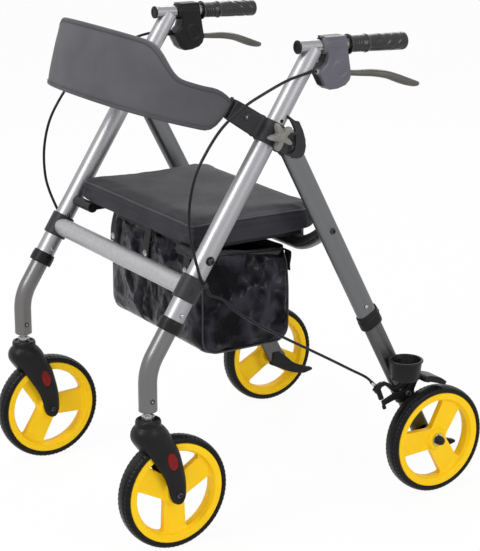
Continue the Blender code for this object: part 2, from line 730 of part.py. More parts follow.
# Handles
def handle_tube(side, label, finishes):
    top = front_point((BAR_Z - BEND_Z) / math.cos(FRONT_RAKE) - BAR_RADIUS * 0.35)
    bottom = front_point(FRONT_TUBE_END - HANDLE_OVERLAP)
    handle = solid("handle_tube_" + label, rod(bottom, top, INNER_TUBE_RADIUS, ROUND_STEPS), side,
                   finishes["silver"], bottom)
    join(handle, "bar", rod(bar_point(BAR_FRONT_Y), bar_point(BAR_REAR_Y), BAR_RADIUS, BAR_STEPS), side)
    for k in range(-HANDLE_HOLES_BELOW, HANDLE_HOLES_ABOVE + 1):
        place = KNOB_S + k * HANDLE_HOLE_PITCH
        cut(handle, "hole_%d" % (k + HANDLE_HOLES_BELOW),
            rod(front_point(place, out=INNER_TUBE_RADIUS - HANDLE_HOLE_DEPTH),
                front_point(place, out=INNER_TUBE_RADIUS + 0.002), HANDLE_HOLE_RADIUS, PIN_STEPS), side)
    return handle


def handle_end_cap(side, label, finishes):
    face = bar_point(BAR_FRONT_Y) - BAR_ALONG * FIT
    radius = BAR_RADIUS + CAP_PROUD
    profile = [(radius, 0), (radius, CAP_THICKNESS - 0.0008), (radius - 0.0012, CAP_THICKNESS)]
    return solid("handle_end_cap_" + label, turn(profile, face, -BAR_ALONG, BAR_STEPS), side,
                 finishes["black"])


def hand_grip(side, label, finishes):
    start = bar_point(GRIP_START_Y)
    bore = BAR_RADIUS + FIT
    floor = BAR_REAR_Y - GRIP_START_Y + 2 * FIT
    end = floor + GRIP_END_WALL
    ridge = GRIP_RIDGE_Y - GRIP_START_Y
    profile = [(bore, floor), (bore, 0), (GRIP_FLANGE_RADIUS, 0), (GRIP_FLANGE_RADIUS, 0.0035),
               (GRIP_NECK_RADIUS, 0.0055), (GRIP_NECK_RADIUS + 0.0005, ridge - 0.003),
               (GRIP_RADIUS + 0.0006, ridge), (GRIP_RADIUS - 0.0010, ridge + 0.003),
               (GRIP_RADIUS, end - 0.005), (GRIP_RADIUS * 0.75, end)]
    return solid("hand_grip_" + label, turn(profile, start, BAR_ALONG, BAR_STEPS), side, finishes["rubber"])


def lever_pivot():
    place = bar_point(LEVER_PIVOT_Y)
    return Vector((FRAME_HALF, place.y, place.z - LEVER_DROP))


def housing_outline():
    """The brake housing from the side: a clamp round the bar over a swept, rounded body."""
    middle = bar_point(HOUSING_Y)
    offsets = [(-0.024, 0.0165), (0.022, 0.0160), (0.027, -0.013), (0.030, -0.031), (0.0335, -0.050),
               (0.030, -0.060), (0.022, -0.0670), (0.006, -0.0715), (-0.010, -0.0720),
               (-0.019, -0.0650), (-0.031, -0.044), (-0.0295, -0.038), (-0.017, -0.027),
               (-0.0135, -0.016), (-0.0165, 0.000)]
    return [(middle.y + dy, middle.z + dz) for dy, dz in offsets]


def adjuster_place():
    middle = bar_point(HOUSING_Y)
    return Vector((FRAME_HALF + ADJUSTER_OUT, middle.y - 0.0290, middle.z - 0.0400))


def adjuster_along():
    """The direction in which the cable leaves the brake housing."""
    return Vector((0.45, -0.88, 0.10)).normalized()


def lever_slot():
    """The room in the housing for the lever's root, over its whole squeeze."""
    pivot = lever_pivot()
    outline = arc_points((pivot.y, pivot.z), LEVER_HUB_RADIUS + 3 * FIT, math.radians(75),
                         math.radians(280), 10)
    return outline + [(pivot.y + 0.040, pivot.z - 0.0125), (pivot.y + 0.040, pivot.z + 0.0165)]


def brake_housing(side, label, finishes):
    low, high = FRAME_HALF - HOUSING_HALF, FRAME_HALF + HOUSING_HALF
    housing = solid("brake_housing_" + label, plate(housing_outline(), low, high), side,
                    finishes["housing"], sharp=30.0)
    soften(housing, HOUSING_BEVEL, 1, 30.0)
    start = adjuster_place()
    along = adjuster_along()
    join(housing, "adjuster", rod(start - along * 0.008, start + along * ADJUSTER_LENGTH,
                                  ADJUSTER_RADIUS, PIN_STEPS), side)
    cut(housing, "bar_bore", rod(bar_point(HOUSING_Y - 0.05), bar_point(HOUSING_Y + 0.05),
                                 BAR_RADIUS + FIT, BAR_STEPS), side)
    cut(housing, "lever_slot", plate(lever_slot(), FRAME_HALF - LEVER_HUB_HALF - 2 * FIT,
                                     FRAME_HALF + LEVER_HUB_HALF + 2 * FIT), side)
    pivot = lever_pivot()
    join(housing, "lever_pin", rod(pivot - ACROSS * 0.009, pivot + ACROSS * 0.009, LEVER_PIN_RADIUS,
                                   PIN_STEPS), side)
    return housing


def brake_lever(side, label, finishes):
    """A curved blade that widens from the housing to a flat finger rest."""
    pivot = lever_pivot()
    stations = [(0.004, 0.0000, 0.0042, 0.0055), (0.0280, -0.0036, 0.0043, 0.0055),
                (0.0500, -0.0054, 0.0045, 0.0068), (0.0740, -0.0068, 0.0049, 0.0080),
                (0.1000, -0.0115, 0.0054, 0.0094), (0.1180, -0.0175, 0.0056, 0.0105),
                (0.1350, -0.0240, 0.0056, 0.0110), (0.1500, -0.0285, 0.0050, 0.0106),
                (0.1595, -0.0308, 0.0040, 0.0085), (0.1645, -0.0316, 0.0024, 0.0050)]
    path = [pivot + Vector((LEVER_SPLAY * max(dy - 0.028, 0.0), dy, dz)) for dy, dz, _, _ in stations]
    sections = [rounded(half_width, half_height, 3.5, 10) for _, _, half_height, half_width in stations]
    lever = solid("brake_lever_" + label, sweep(path, sections), side, finishes["lever"], pivot)
    join(lever, "hub", rod(pivot - ACROSS * LEVER_HUB_HALF, pivot + ACROSS * LEVER_HUB_HALF,
                           LEVER_HUB_RADIUS), side)
    cut(lever, "pin_hole", rod(pivot - ACROSS * 0.02, pivot + ACROSS * 0.02,
                               LEVER_PIN_RADIUS + RUNNING, PIN_STEPS), side)
    return lever


# Casters
def caster_stem(side, label, finishes):
    base = Vector((FRAME_HALF, STEM_Y, 0))
    profile = [(STEM_RADIUS, FORK_TOP_Z - FORK_STEM_DEPTH), (STEM_RADIUS, FORK_TOP_Z + FIT),
               (STEM_COLLAR_RADIUS, FORK_TOP_Z + FIT), (STEM_COLLAR_RADIUS, FRONT_LEG_END_Z - FIT),
               (STEM_RADIUS, FRONT_LEG_END_Z - FIT), (STEM_RADIUS, FRONT_LEG_END_Z + STEM_DEPTH)]
    return solid("caster_stem_" + label, turn(profile, base, UP, BOLT_STEPS), side, finishes["steel"], base)


def caster_fork(side, label, finishes):
    """A lofted crown that sweeps back and down into one blade on each side of the wheel."""
    wheel = Vector((FRAME_HALF, FRONT_WHEEL_Y, WHEEL_RADIUS))
    stem = Vector((FRAME_HALF, STEM_Y, 0))
    behind = CASTER_TRAIL
    stations = [(-0.0165, behind, 0.0250, 0.0060, 4.0), (-0.0120, behind, BLADE_OUTER, 0.0117, 4.0),
                (0.0000, behind, BLADE_OUTER, 0.0165, 4.0), (0.0300, behind * 0.88, BLADE_OUTER, 0.0192, 4.0),
                (0.0620, behind * 0.58, 0.0268, 0.0250, 3.4), (0.0820, behind * 0.37, 0.0275, 0.0305, 3.0),
                (0.1020, behind * 0.13, 0.0278, 0.0338, 2.6), (0.1150, behind * 0.04, 0.0272, 0.0315, 2.3),
                (0.1240, 0.0, 0.0245, 0.0265, 2.0), (0.1275, 0.0, 0.0215, 0.0225, 2.0),
                (0.1355, 0.0, 0.0218, 0.0218, 2.0),
                (0.1370, 0.0, 0.0205, 0.0205, 2.0)]
    stretch = (FORK_TOP_Z - WHEEL_RADIUS) / stations[-1][0]
    rings = []
    for rise, back, half_x, half_y, power in stations:
        centre = stem + Vector((0, back, WHEEL_RADIUS + rise * stretch))
        rings.append([centre + Vector((a, b, 0)) for a, b in rounded(half_x, half_y, power, 16)])
    fork = solid("caster_fork_" + label, loft(rings), side, finishes["black"], stem)
    arch = WHEEL_RADIUS + WHEEL_CLEARANCE
    cut(fork, "wheel_room", rod(wheel - ACROSS * BLADE_INNER, wheel + ACROSS * BLADE_INNER, arch,
                                WHEEL_STEPS), side)
    join(fork, "axle_bolt", rod(wheel - ACROSS * (BLADE_OUTER + BOLT_HEAD_PROUD - 0.002),
                                wheel + ACROSS * (BLADE_OUTER - 0.002), AXLE_RADIUS, PIN_STEPS), side)
    for direction in (-1, 1):
        start = wheel + ACROSS * direction * (BLADE_OUTER - 0.002)
        join(fork, "head_%s" % ("out" if direction > 0 else "in"),
             rod(start, start + ACROSS * direction * (0.002 + BOLT_HEAD_PROUD), BOLT_HEAD_RADIUS), side)
    cut(fork, "stem_bore", rod(stem + UP * (FORK_TOP_Z - FORK_STEM_DEPTH - FIT),
                               stem + UP * (FORK_TOP_Z + 0.01), STEM_RADIUS + FIT), side)
    place = stem + Vector((0, CASTER_TRAIL * 0.78, WHEEL_RADIUS + 0.064))
    tilt = math.radians(14)
    oval = []
    for u, v in circle(1.0, 18):
        y, z = u * REFLECTOR_HALF_WIDTH, v * REFLECTOR_HALF_LENGTH
        oval.append((place.y + y * math.cos(tilt) - z * math.sin(tilt),
                     place.z + y * math.sin(tilt) + z * math.cos(tilt)))
    face = FRAME_HALF + BLADE_OUTER
    cut(fork, "reflector_pocket", plate(oval, face - REFLECTOR_DEPTH, face + 0.01), side)
    return fork


# Wheels
def rim_opening(angle):
    """One of the three gaps: its straight sides flare with the spokes, its outer side is an arc."""
    half = math.radians(60)
    lean = half - SPOKE_FLARE
    corner = SPOKE_HALF / math.sin(lean)
    side_way = Vector((math.cos(lean), math.sin(lean)))
    reach = OPENING_RADIUS
    run = math.sqrt(reach ** 2 - SPOKE_HALF ** 2) - SPOKE_HALF / math.tan(lean)
    outer = Vector((corner, 0)) + side_way * run
    edge = math.atan2(outer.y, outer.x)
    tangent = OPENING_FILLET / math.tan(lean)
    centre = Vector((corner, 0)) + Vector((OPENING_FILLET / math.sin(lean), 0))
    start = Vector((corner, 0)) + side_way * tangent
    from_angle = math.atan2(start.y, start.x - centre.x)
    inner = arc_points(centre, OPENING_FILLET, from_angle, 2 * math.pi - from_angle, 3)
    outline = inner + arc_points((0, 0), outer.length, -edge, edge, 6)
    turned = []
    for u, v in outline:
        turned.append((u * math.cos(angle) - v * math.sin(angle), u * math.sin(angle) + v * math.cos(angle)))
    return turned


def rim(name, centre, bore, phase, side, finishes):
    profile = [(HUB_RADIUS - 0.0015, -HUB_HALF), (HUB_RADIUS + 0.002, -DISC_HALF),
               (DISC_RADIUS, -DISC_HALF), (RIM_RADIUS - RIM_FACE, -RIM_HALF),
               (RIM_RADIUS, -RIM_HALF), (RIM_RADIUS, RIM_HALF), (RIM_RADIUS - RIM_FACE, RIM_HALF),
               (DISC_RADIUS, DISC_HALF), (HUB_RADIUS + 0.002, DISC_HALF),
               (HUB_RADIUS - 0.0015, HUB_HALF)]
    wheel = solid(name, turn(profile, centre, ACROSS, WHEEL_STEPS), side, finishes["yellow"], centre)
    cut(wheel, "bore", rod(centre - ACROSS * 0.02, centre + ACROSS * 0.02, bore), side)
    for k in range(3):
        outline = rim_opening(phase + math.pi / 3 + 2 * math.pi * k / 3)
        shape = plate([(centre.y + u, centre.z + v) for u, v in outline], centre.x - 0.02, centre.x + 0.02)
        cut(wheel, "opening_%d" % k, shape, side)
    return wheel


def tyre(name, centre, side, finishes):
    inner, outer, half = RIM_RADIUS + FIT, WHEEL_RADIUS, TYRE_WIDTH / 2
    half_profile = [(inner, -half), (outer - TYRE_SHOULDER, -half), (outer - 0.0012, -half + 0.0040),
                    (outer, -half + 0.0105)]
    profile = half_profile + [(radius, -height) for radius, height in reversed(half_profile)]
    return solid(name, turn(profile, centre, ACROSS, WHEEL_STEPS, closed=True), side,
                 finishes["tyre"], centre)


# Rear frame
def rear_tube(side, label, finishes):
    """A flat-oval tube whose top is rounded about the pivot."""
    radius = REAR_TUBE_WIDTH / 2
    stations = [(REAR_TUBE_START, REAR_TUBE_WIDTH), (PIVOT_LENGTH, REAR_TUBE_WIDTH)]
    for i in range(1, 6):
        angle = math.radians(80) * i / 5
        stations.append((PIVOT_LENGTH + radius * math.sin(angle), REAR_TUBE_WIDTH * math.cos(angle)))
    path = [rear_point(along) for along, _ in stations]
    sections = [stadium(REAR_TUBE_THICKNESS, max(width, 0.0)) for _, width in stations]
    tube = solid("rear_tube_" + label, sweep(path, sections), side, finishes["grey"], REAR_PIVOT)
    bore = stadium(REAR_TUBE_THICKNESS - 2 * REAR_TUBE_WALL, REAR_TUBE_WIDTH - 2 * REAR_TUBE_WALL)
    cut(tube, "bore", sweep([rear_point(REAR_TUBE_START - 0.01), rear_point(REAR_LEG_TOP_S + 0.004)], bore),
        side)
    cut(tube, "pivot_hole", rod(REAR_PIVOT - ACROSS * 0.02, REAR_PIVOT + ACROSS * 0.02,
                                PIVOT_PIN_RADIUS + RUNNING), side)
    cut(tube, "button_hole", rod(rear_point(REAR_BUTTON_S), rear_point(REAR_BUTTON_S, out=0.015),
                                 BUTTON_RADIUS + FIT, PIN_STEPS), side)
    return tube


def rear_leg(side, label, finishes):
    """The lower leg, with its stub axle welded on and the kerb pedal at its foot."""
    radius = REAR_LEG_WIDTH / 2
    stations = [(-radius * math.sin(math.radians(80) * i / 4),
                 REAR_LEG_WIDTH * math.cos(math.radians(80) * i / 4)) for i in range(4, 0, -1)]
    stations += [(0.0, REAR_LEG_WIDTH), (REAR_LEG_TOP_S, REAR_LEG_WIDTH)]
    path = [rear_point(along) for along, _ in stations]
    sections = [stadium(REAR_LEG_THICKNESS, width) for _, width in stations]
    leg = solid("rear_leg_" + label, sweep(path, sections), side, finishes["grey"], REAR_AXLE)
    hub_in = REAR_WHEEL_HALF - HUB_HALF - RUNNING
    hub_out = REAR_WHEEL_HALF + HUB_HALF + RUNNING
    place = Vector((0, REAR_AXLE_Y, WHEEL_RADIUS))
    join(leg, "stub", rod(place + ACROSS * REAR_LEG_HALF, place + ACROSS * (hub_out + 0.002), STUB_RADIUS,
                          16), side)
    join(leg, "spacer", rod(place + ACROSS * REAR_LEG_HALF, place + ACROSS * hub_in, STUB_SPACER_RADIUS,
                            16), side)
    profile = [(STUB_HEAD_RADIUS, hub_out), (STUB_HEAD_RADIUS, STUB_REACH - 0.002),
               (STUB_HEAD_RADIUS * 0.75, STUB_REACH)]
    join(leg, "axle_head", turn(profile, place, ACROSS, 16), side)
    offsets = [(-0.016, 0.001), (0.000, -0.002), (0.024, -0.016), (0.050, -0.029), (0.072, -0.034)]
    pedal = ribbon([(REAR_AXLE.y + dy, REAR_AXLE.z + dz) for dy, dz in offsets],
                   [0.013, 0.015, 0.0105, 0.0075, 0.0050])
    face = REAR_LEG_HALF - REAR_LEG_THICKNESS / 2 + 0.002
    join(leg, "pedal", plate(pedal, face - PEDAL_WIDTH, face), side)
    inner = button_inner(REAR_TUBE_THICKNESS / 2) - BUTTON_TRAVEL - FIT
    cut(leg, "button_pocket", rod(rear_point(REAR_BUTTON_S, out=inner),
                                  rear_point(REAR_BUTTON_S, out=0.013), BUTTON_RADIUS + FIT, PIN_STEPS), side)
    return leg


def rear_collar(side, label, finishes):
    top = REAR_TUBE_START + REAR_COLLAR_GRIP
    bottom = top - REAR_COLLAR_LENGTH
    shoulder = REAR_TUBE_START - FIT
    leg = stadium(REAR_LEG_THICKNESS + 2 * FIT, REAR_LEG_WIDTH + 2 * FIT)
    tube = stadium(REAR_TUBE_THICKNESS + 2 * FIT, REAR_TUBE_WIDTH + 2 * FIT)
    outer = stadium(REAR_TUBE_THICKNESS + 2 * REAR_COLLAR_WALL, REAR_TUBE_WIDTH + 2 * REAR_COLLAR_WALL)
    rings = []
    for along, section in ((bottom, leg), (bottom, outer), (top, outer), (top, tube), (shoulder, tube),
                           (shoulder, leg)):
        place = rear_point(along)
        rings.append([place + ACROSS * u + REAR_BEHIND * v for u, v in section])
    return solid("rear_collar_" + label, loft(rings, closed=True), side, finishes["black"])


def rear_crossbar_path():
    """The bar droops from its bolted ends to a level middle, on one power curve."""
    run = REAR_CROSSBAR_END - REAR_CROSSBAR_FLAT_HALF
    half = []
    for share in (0.0, 0.25, 0.5, 0.75, 1.0 - SLEEVE_END_GAP / run, 1.0):
        rise = (REAR_CROSSBAR_END_Z - REAR_CROSSBAR_MID_Z) * share ** REAR_CROSSBAR_CURVE
        half.append(Vector((REAR_CROSSBAR_FLAT_HALF + run * share, REAR_CROSSBAR_Y,
                            REAR_CROSSBAR_MID_Z + rise)))
    return [Vector((-point.x, point.y, point.z)) for point in reversed(half)] + half


def rear_crossbar(finishes):
    path = rear_crossbar_path()
    bar_rings = sweep_rings(path, circle(REAR_CROSSBAR_RADIUS, CROSSBAR_STEPS), ALONG_TRAVEL)
    for point in bar_rings[0] + bar_rings[-1]:
        point.x = math.copysign(REAR_CROSSBAR_END, point.x)
    bar = solid("rear_crossbar", loft(bar_rings), 1, finishes["grey"])
    inner = REAR_CROSSBAR_RADIUS + FIT
    section = arc_points((0, 0), inner, 0, math.pi, CROSSBAR_STEPS // 2)
    section += arc_points((0, 0), inner + SLEEVE_WALL, math.pi, 0, CROSSBAR_STEPS // 2)
    # The sleeve covers the bar's upper side and stops short of its ends
    sleeve_rings = sweep_rings(path, section, ALONG_TRAVEL)[1:-1]
    sleeve = solid("crossbar_sleeve", loft(sleeve_rings), 1, finishes["black"])
    return bar, sleeve


# Brakes and cup
def rocker_pivot():
    return rear_point(BRAKE_PIVOT_S)


def brake_bracket(side, label, finishes):
    """A sleeve on the lower leg with the cable's hook in front and the rocker's pin."""
    centre = BRAKE_PIVOT_S + 0.004
    wall = BRAKE_SLEEVE_WALL + FIT
    outer = stadium(REAR_LEG_THICKNESS + 2 * wall, REAR_LEG_WIDTH + 2 * wall)
    ends = [rear_point(centre - BRAKE_SLEEVE_LENGTH / 2), rear_point(centre + BRAKE_SLEEVE_LENGTH / 2)]
    bracket = solid("brake_bracket_" + label, sweep(ends, outer), side, finishes["black"])
    pivot = rocker_pivot()
    hook = [(-0.071, 0.0150), (-0.059, 0.0270), (-0.045, 0.0360), (-0.028, 0.0380), (-0.012, 0.0260),
            (-0.010, 0.0080), (-0.026, 0.0200), (-0.043, 0.0210), (-0.053, 0.0130), (-0.063, 0.0060)]
    outline = [(pivot.y + dy, pivot.z + dz) for dy, dz in hook]
    high = REAR_LEG_HALF + BRAKE_SLEEVE_HALF
    join(bracket, "hook", plate(outline, high - 0.008, high - 0.0005), side)
    cut(bracket, "leg_bore", sweep([rear_point(0.05), rear_point(0.16)],
                                   stadium(REAR_LEG_THICKNESS + 2 * FIT, REAR_LEG_WIDTH + 2 * FIT)), side)
    reach = BRAKE_SLEEVE_HALF + ROCKER_GAP + ROCKER_THICKNESS
    join(bracket, "rocker_pin", rod(pivot + ACROSS * (BRAKE_SLEEVE_HALF - 0.002),
                                    pivot + ACROSS * (reach + 0.0008), BRAKE_PIN_RADIUS, PIN_STEPS), side)
    return bracket


def brake_arm(side, label, finishes):
    """A rocker: the cable lifts its front end, and its cranked rear end presses on the tyre."""
    pivot = rocker_pivot()
    wheel = Vector((0, REAR_AXLE_Y, WHEEL_RADIUS))
    angle = math.radians(82.5)
    rest = WHEEL_RADIUS + BRAKE_GAP + ROCKER_HALF_WIDTH
    shoe = (wheel.y + rest * math.cos(angle), wheel.z + rest * math.sin(angle))
    knee = (pivot.y + 0.0235, pivot.z + 0.0315)
    bridge = (wheel.y + 0.004, wheel.z + 0.1140)
    front = (pivot.y - 0.057, pivot.z - 0.006)
    low = REAR_LEG_HALF + BRAKE_SLEEVE_HALF + ROCKER_GAP
    half = ROCKER_HALF_WIDTH
    plan = ribbon([front, (pivot.y - 0.02, pivot.z - 0.004), (pivot.y, pivot.z), knee],
                  [half * 0.9, half * 1.25, half * 1.9, half])
    arm = solid("brake_arm_" + label, plate(plan, low, low + ROCKER_THICKNESS), side, finishes["black"],
                pivot)
    over = ribbon([(knee[0] - 0.004, knee[1] - 0.0055), knee, bridge, shoe],
                  [half, half, half, half])
    outside = REAR_WHEEL_HALF + TYRE_WIDTH / 2 - SHOE_OVERHANG
    join(arm, "shoe", plate(over, low, outside), side)
    cut(arm, "pin_hole", rod(pivot, pivot + ACROSS * 0.03, BRAKE_PIN_RADIUS + RUNNING, PIN_STEPS), side)
    return arm


def cane_cup(finishes):
    """A tapered cup with a rolled lip, open at the top, on a pad that lies on the left leg."""
    base = Vector((REAR_LEG_HALF + CUP_OUTSET, CUP_Y, CUP_RIM_Z - CUP_DEPTH))
    top = CUP_DEPTH
    body = CUP_RADIUS - 0.002
    profile = [(body - CUP_TAPER - 0.0015, 0), (body - CUP_TAPER, 0.002), (body, top - CUP_LIP_HEIGHT),
               (CUP_RADIUS, top - CUP_LIP_HEIGHT + 0.001), (CUP_RADIUS, top - 0.001),
               (CUP_RADIUS - 0.001, top), (body - CUP_WALL + 0.0008, top), (body - CUP_WALL, top - 0.002),
               (body - CUP_TAPER - CUP_WALL, CUP_WALL)]
    cup = solid("cane_cup", turn(profile, base, UP, CUP_STEPS), 1, finishes["black"])
    face = REAR_LEG_HALF + REAR_LEG_THICKNESS / 2 + FIT
    middle = rear_point((CUP_RIM_Z - 0.018 - WHEEL_RADIUS) / math.cos(REAR_RAKE))
    join(cup, "pad", block((face, middle.y - 0.013, CUP_RIM_Z - 0.033),
                           (base.x - body + 0.0043, middle.y + 0.015, CUP_RIM_Z - 0.006)))
    cut(cup, "hollow", turn([(body - CUP_TAPER - CUP_WALL, CUP_WALL), (body - CUP_WALL, top - 0.002)],
                            base, UP, CUP_STEPS))
    return cup


# Seat and bag
def seat_outline(inset):
    """The seat from above: a rounded rectangle with larger corners at the rear."""
    low, high = SEAT_FRONT_Y + inset, SEAT_REAR_Y - inset
    half = SEAT_HALF_WIDTH - inset
    points = []
    corners = ((half, high, SEAT_REAR_CORNER, 0), (-half, high, SEAT_REAR_CORNER, 1),
               (-half, low, SEAT_FRONT_CORNER, 2), (half, low, SEAT_FRONT_CORNER, 3))
    for x, y, radius, quarter in corners:
        radius = max(radius - inset, 0.004)
        centre = (x - math.copysign(radius, x), y - radius if quarter < 2 else y + radius)
        start = math.pi / 2 * quarter
        points += arc_points(centre, radius, start, start + math.pi / 2, 5)
    return points


def seat_cushion(finishes, hinge):
    """A crowned cushion: its sides draw in at the seam below the top panel."""
    height = SEAT_SIDE_HEIGHT
    seam = height * SEAT_SEAM_FRACTION
    layers = [(0.0, SEAT_BULGE + 0.007), (0.004, SEAT_BULGE + 0.001), (seam * 0.45, 0.0),
              (seam - 0.004, 0.0006), (seam, SEAT_SEAM_DEPTH), (seam + 0.004, 0.0008),
              (height - 0.004, 0.0022), (height, 0.009), (height + SEAT_CROWN * 0.6, 0.030),
              (height + SEAT_CROWN * 0.9, 0.065), (height + SEAT_CROWN, 0.105)]
    rings = []
    for rise, inset in layers:
        rings.append([Vector((x, y, SEAT_BOTTOM_Z + rise)) for x, y in seat_outline(inset)])
    return solid("seat_cushion", loft(rings), 1, finishes["cushion"], hinge, sharp=60.0)


def seat_frame(finishes, hinge):
    """The board under the cushion, with hinge bolts through the front tubes and rear saddles."""
    half = SEAT_HALF_WIDTH - BOARD_INSET
    low, high = BOARD_TOP_Z - BOARD_THICKNESS, BOARD_TOP_Z
    rings = [[Vector((x, y, z)) for x, y in seat_outline(BOARD_INSET)] for z in (low, high)]
    board = solid("seat_frame", loft(rings), 1, finishes["black"], hinge)
    bolt = front_point(SEAT_HINGE_S)
    tube_face = FRONT_TUBE_RADIUS + 2 * FIT
    for side, label in SIDES:
        join(board, "arm_" + label, block((half - BOARD_ARM_WIDTH, bolt.y, low),
                                          (half, SEAT_FRONT_Y + BOARD_INSET + 0.03, high)), side)
        join(board, "boss_" + label, rod(Vector((half - BOARD_ARM_WIDTH, bolt.y, bolt.z)),
                                         bolt - ACROSS * tube_face, SEAT_BOSS_RADIUS), side)
        join(board, "pin_" + label, rod(bolt - ACROSS * (tube_face + 0.004),
                                        bolt + ACROSS * (tube_face + 0.001), SEAT_PIN_RADIUS,
                                        PIN_STEPS), side)
        join(board, "head_" + label, rod(bolt + ACROSS * tube_face,
                                         bolt + ACROSS * (tube_face + SEAT_PIN_HEAD_LENGTH),
                                         SEAT_PIN_HEAD_RADIUS), side)
        join(board, "saddle_" + label,
             block((SADDLE_X - SADDLE_HALF_WIDTH, REAR_CROSSBAR_Y - SADDLE_HALF_LENGTH,
                    REAR_CROSSBAR_MID_Z + REAR_CROSSBAR_RADIUS * 0.8),
                   (SADDLE_X + SADDLE_HALF_WIDTH, REAR_CROSSBAR_Y + SADDLE_HALF_LENGTH, low + 0.003)), side)
    notch = REAR_CROSSBAR_RADIUS + SLEEVE_WALL + 2 * FIT
    middle = Vector((0, REAR_CROSSBAR_Y, REAR_CROSSBAR_MID_Z))
    cut(board, "notch", rod(middle - ACROSS * REAR_CROSSBAR_FLAT_HALF,
                            middle + ACROSS * REAR_CROSSBAR_FLAT_HALF, notch, CROSSBAR_STEPS))
    return board


def bag_ring(rise, inset):
    """One level of the bag: a rectangle with small rounded corners."""
    radius = BAG_CORNER - inset * 0.5
    reach_x = BAG_HALF_WIDTH - inset - radius
    low_y, high_y = BAG_FRONT_Y + inset + radius, BAG_REAR_Y - inset - radius
    outline = []
    for quarter, centre in enumerate(((reach_x, high_y), (-reach_x, high_y), (-reach_x, low_y),
                                      (reach_x, low_y))):
        start = math.pi / 2 * quarter
        outline += arc_points(centre, radius, start, start + math.pi / 2, 3)
    return [Vector((x, y, BAG_BOTTOM_Z + rise)) for x, y in outline]


def bag(finishes):
    """A bag that sags between its corners, open at the top under the seat board."""
    top = BOARD_TOP_Z - BOARD_THICKNESS - FIT
    height = top - BAG_BOTTOM_Z
    layers = [(0.0, 0.014), (0.03, 0.005), (0.16, 0.001), (0.50, 0.0), (0.82, 0.002), (1.0, 0.008)]
    rings = []
    for share, inset in layers:
        rings.append(bag_ring(height * share, inset))
    for share, inset in reversed(layers):
        rings.append(bag_ring(max(height * share, BAG_WALL), inset + BAG_WALL))
    del rings[-1]
    return solid("bag", loft(rings), 1, finishes["bag"])


# Backrest
def back_edge(angle, front, side_end):
    """A point on the band's upper or lower edge, by the angle round its plan curve."""
    c, s = math.cos(angle), math.sin(angle)
    x = BACK_HALF_WIDTH * math.copysign(abs(c) ** (2 / BACK_EXPONENT), c)
    share = abs(s) ** (2 / BACK_EXPONENT)
    return Vector((x, side_end[0] + (front[0] - side_end[0]) * share,
                   side_end[1] + (front[1] - side_end[1]) * share))


def back_stations():
    """The left half of the band: tongue in the socket, narrow strap, then the padded part."""
    stations = []
    for ahead, half_height, half in ((SOCKET_REACH - SOCKET_SLOT_DEPTH + 0.0015, TONGUE_HALF_HEIGHT,
                                      TONGUE_HALF_THICKNESS),
                                     (SOCKET_REACH + FIT, TONGUE_HALF_HEIGHT, TONGUE_HALF_THICKNESS),
                                     (SOCKET_REACH + 0.0015, 0.0135, 0.0040),
                                     (SOCKET_REACH + 0.0060, 0.0215, BACK_STRAP_HALF),
                                     (SOCKET_REACH + 0.0140, 0.0270, BACK_STRAP_HALF)):
        place = front_point(KNOB_S, ahead)
        stations.append((place + FRONT_UP * half_height, place - FRONT_UP * half_height, half, 0.0))
    for degrees in (10, 16, 22, 29, 36, 43, 50, 58, 66, 74, 82):
        angle = math.radians(degrees)
        high = back_edge(angle, BACK_TOP_FRONT, BACK_TOP_SIDE)
        low = back_edge(angle, BACK_BOTTOM_FRONT, BACK_BOTTOM_SIDE)
        share = BACK_STRAP_FRACTION + (1 - BACK_STRAP_FRACTION) * smooth_step((degrees - 26) / 30)
        pad = smooth_step((degrees - 24) / 20)
        half = BACK_STRAP_HALF + (BACK_PAD_HALF - BACK_STRAP_HALF) * pad
        inward = half * smooth_step((degrees - 8) / 30)
        stations.append((low + (high - low) * share, low, half, inward))
    return stations


def backrest_band(finishes):
    left = back_stations()
    middle = (back_edge(math.pi / 2, BACK_TOP_FRONT, BACK_TOP_SIDE),
              back_edge(math.pi / 2, BACK_BOTTOM_FRONT, BACK_BOTTOM_SIDE), BACK_PAD_HALF, BACK_PAD_HALF)
    flip = Vector((-1, 1, 1))
    right = [(high * flip, low * flip, half, inward) for high, low, half, inward in reversed(left)]
    stations = left + [middle] + right
    rings = []
    for i, (high, low, half, inward) in enumerate(stations):
        before, after = stations[max(i - 1, 0)], stations[min(i + 1, len(stations) - 1)]
        along = (after[0] + after[1] - before[0] - before[1]).normalized()
        tall = (high - low).normalized()
        through = along.cross(tall).normalized()
        centre = (high + low) / 2 + through * inward
        section = rounded((high - low).length / 2, half, 5.0, 10)
        rings.append([centre + tall * a + through * b for a, b in section])
    return solid("backrest_band", loft(rings), 1, finishes["back"], sharp=60.0)


# Cables
def smooth_path(knots, spacing):
    """Evenly spaced points on a smooth curve through the knots, with straight first and last runs."""
    fine = []
    for i in range(1, len(knots) - 2):
        before, start, end, after = knots[i - 1:i + 3]
        for k in range(24):
            t = k / 24
            fine.append(0.5 * ((2 * start) + (end - before) * t
                               + (2 * before - 5 * start + 4 * end - after) * t ** 2
                               + (3 * start - before - 3 * end + after) * t ** 3))
    fine.append(knots[-2])
    length = sum((b - a).length for a, b in zip(fine, fine[1:]))
    count = max(int(length / spacing), 2)
    points, travelled, wanted = [knots[0], fine[0]], 0.0, 1
    for a, b in zip(fine, fine[1:]):
        step = (b - a).length
        while wanted < count and travelled + step >= length * wanted / count:
            points.append(a.lerp(b, (length * wanted / count - travelled) / step))
            wanted += 1
        travelled += step
    return points + [fine[-1], knots[-1]]


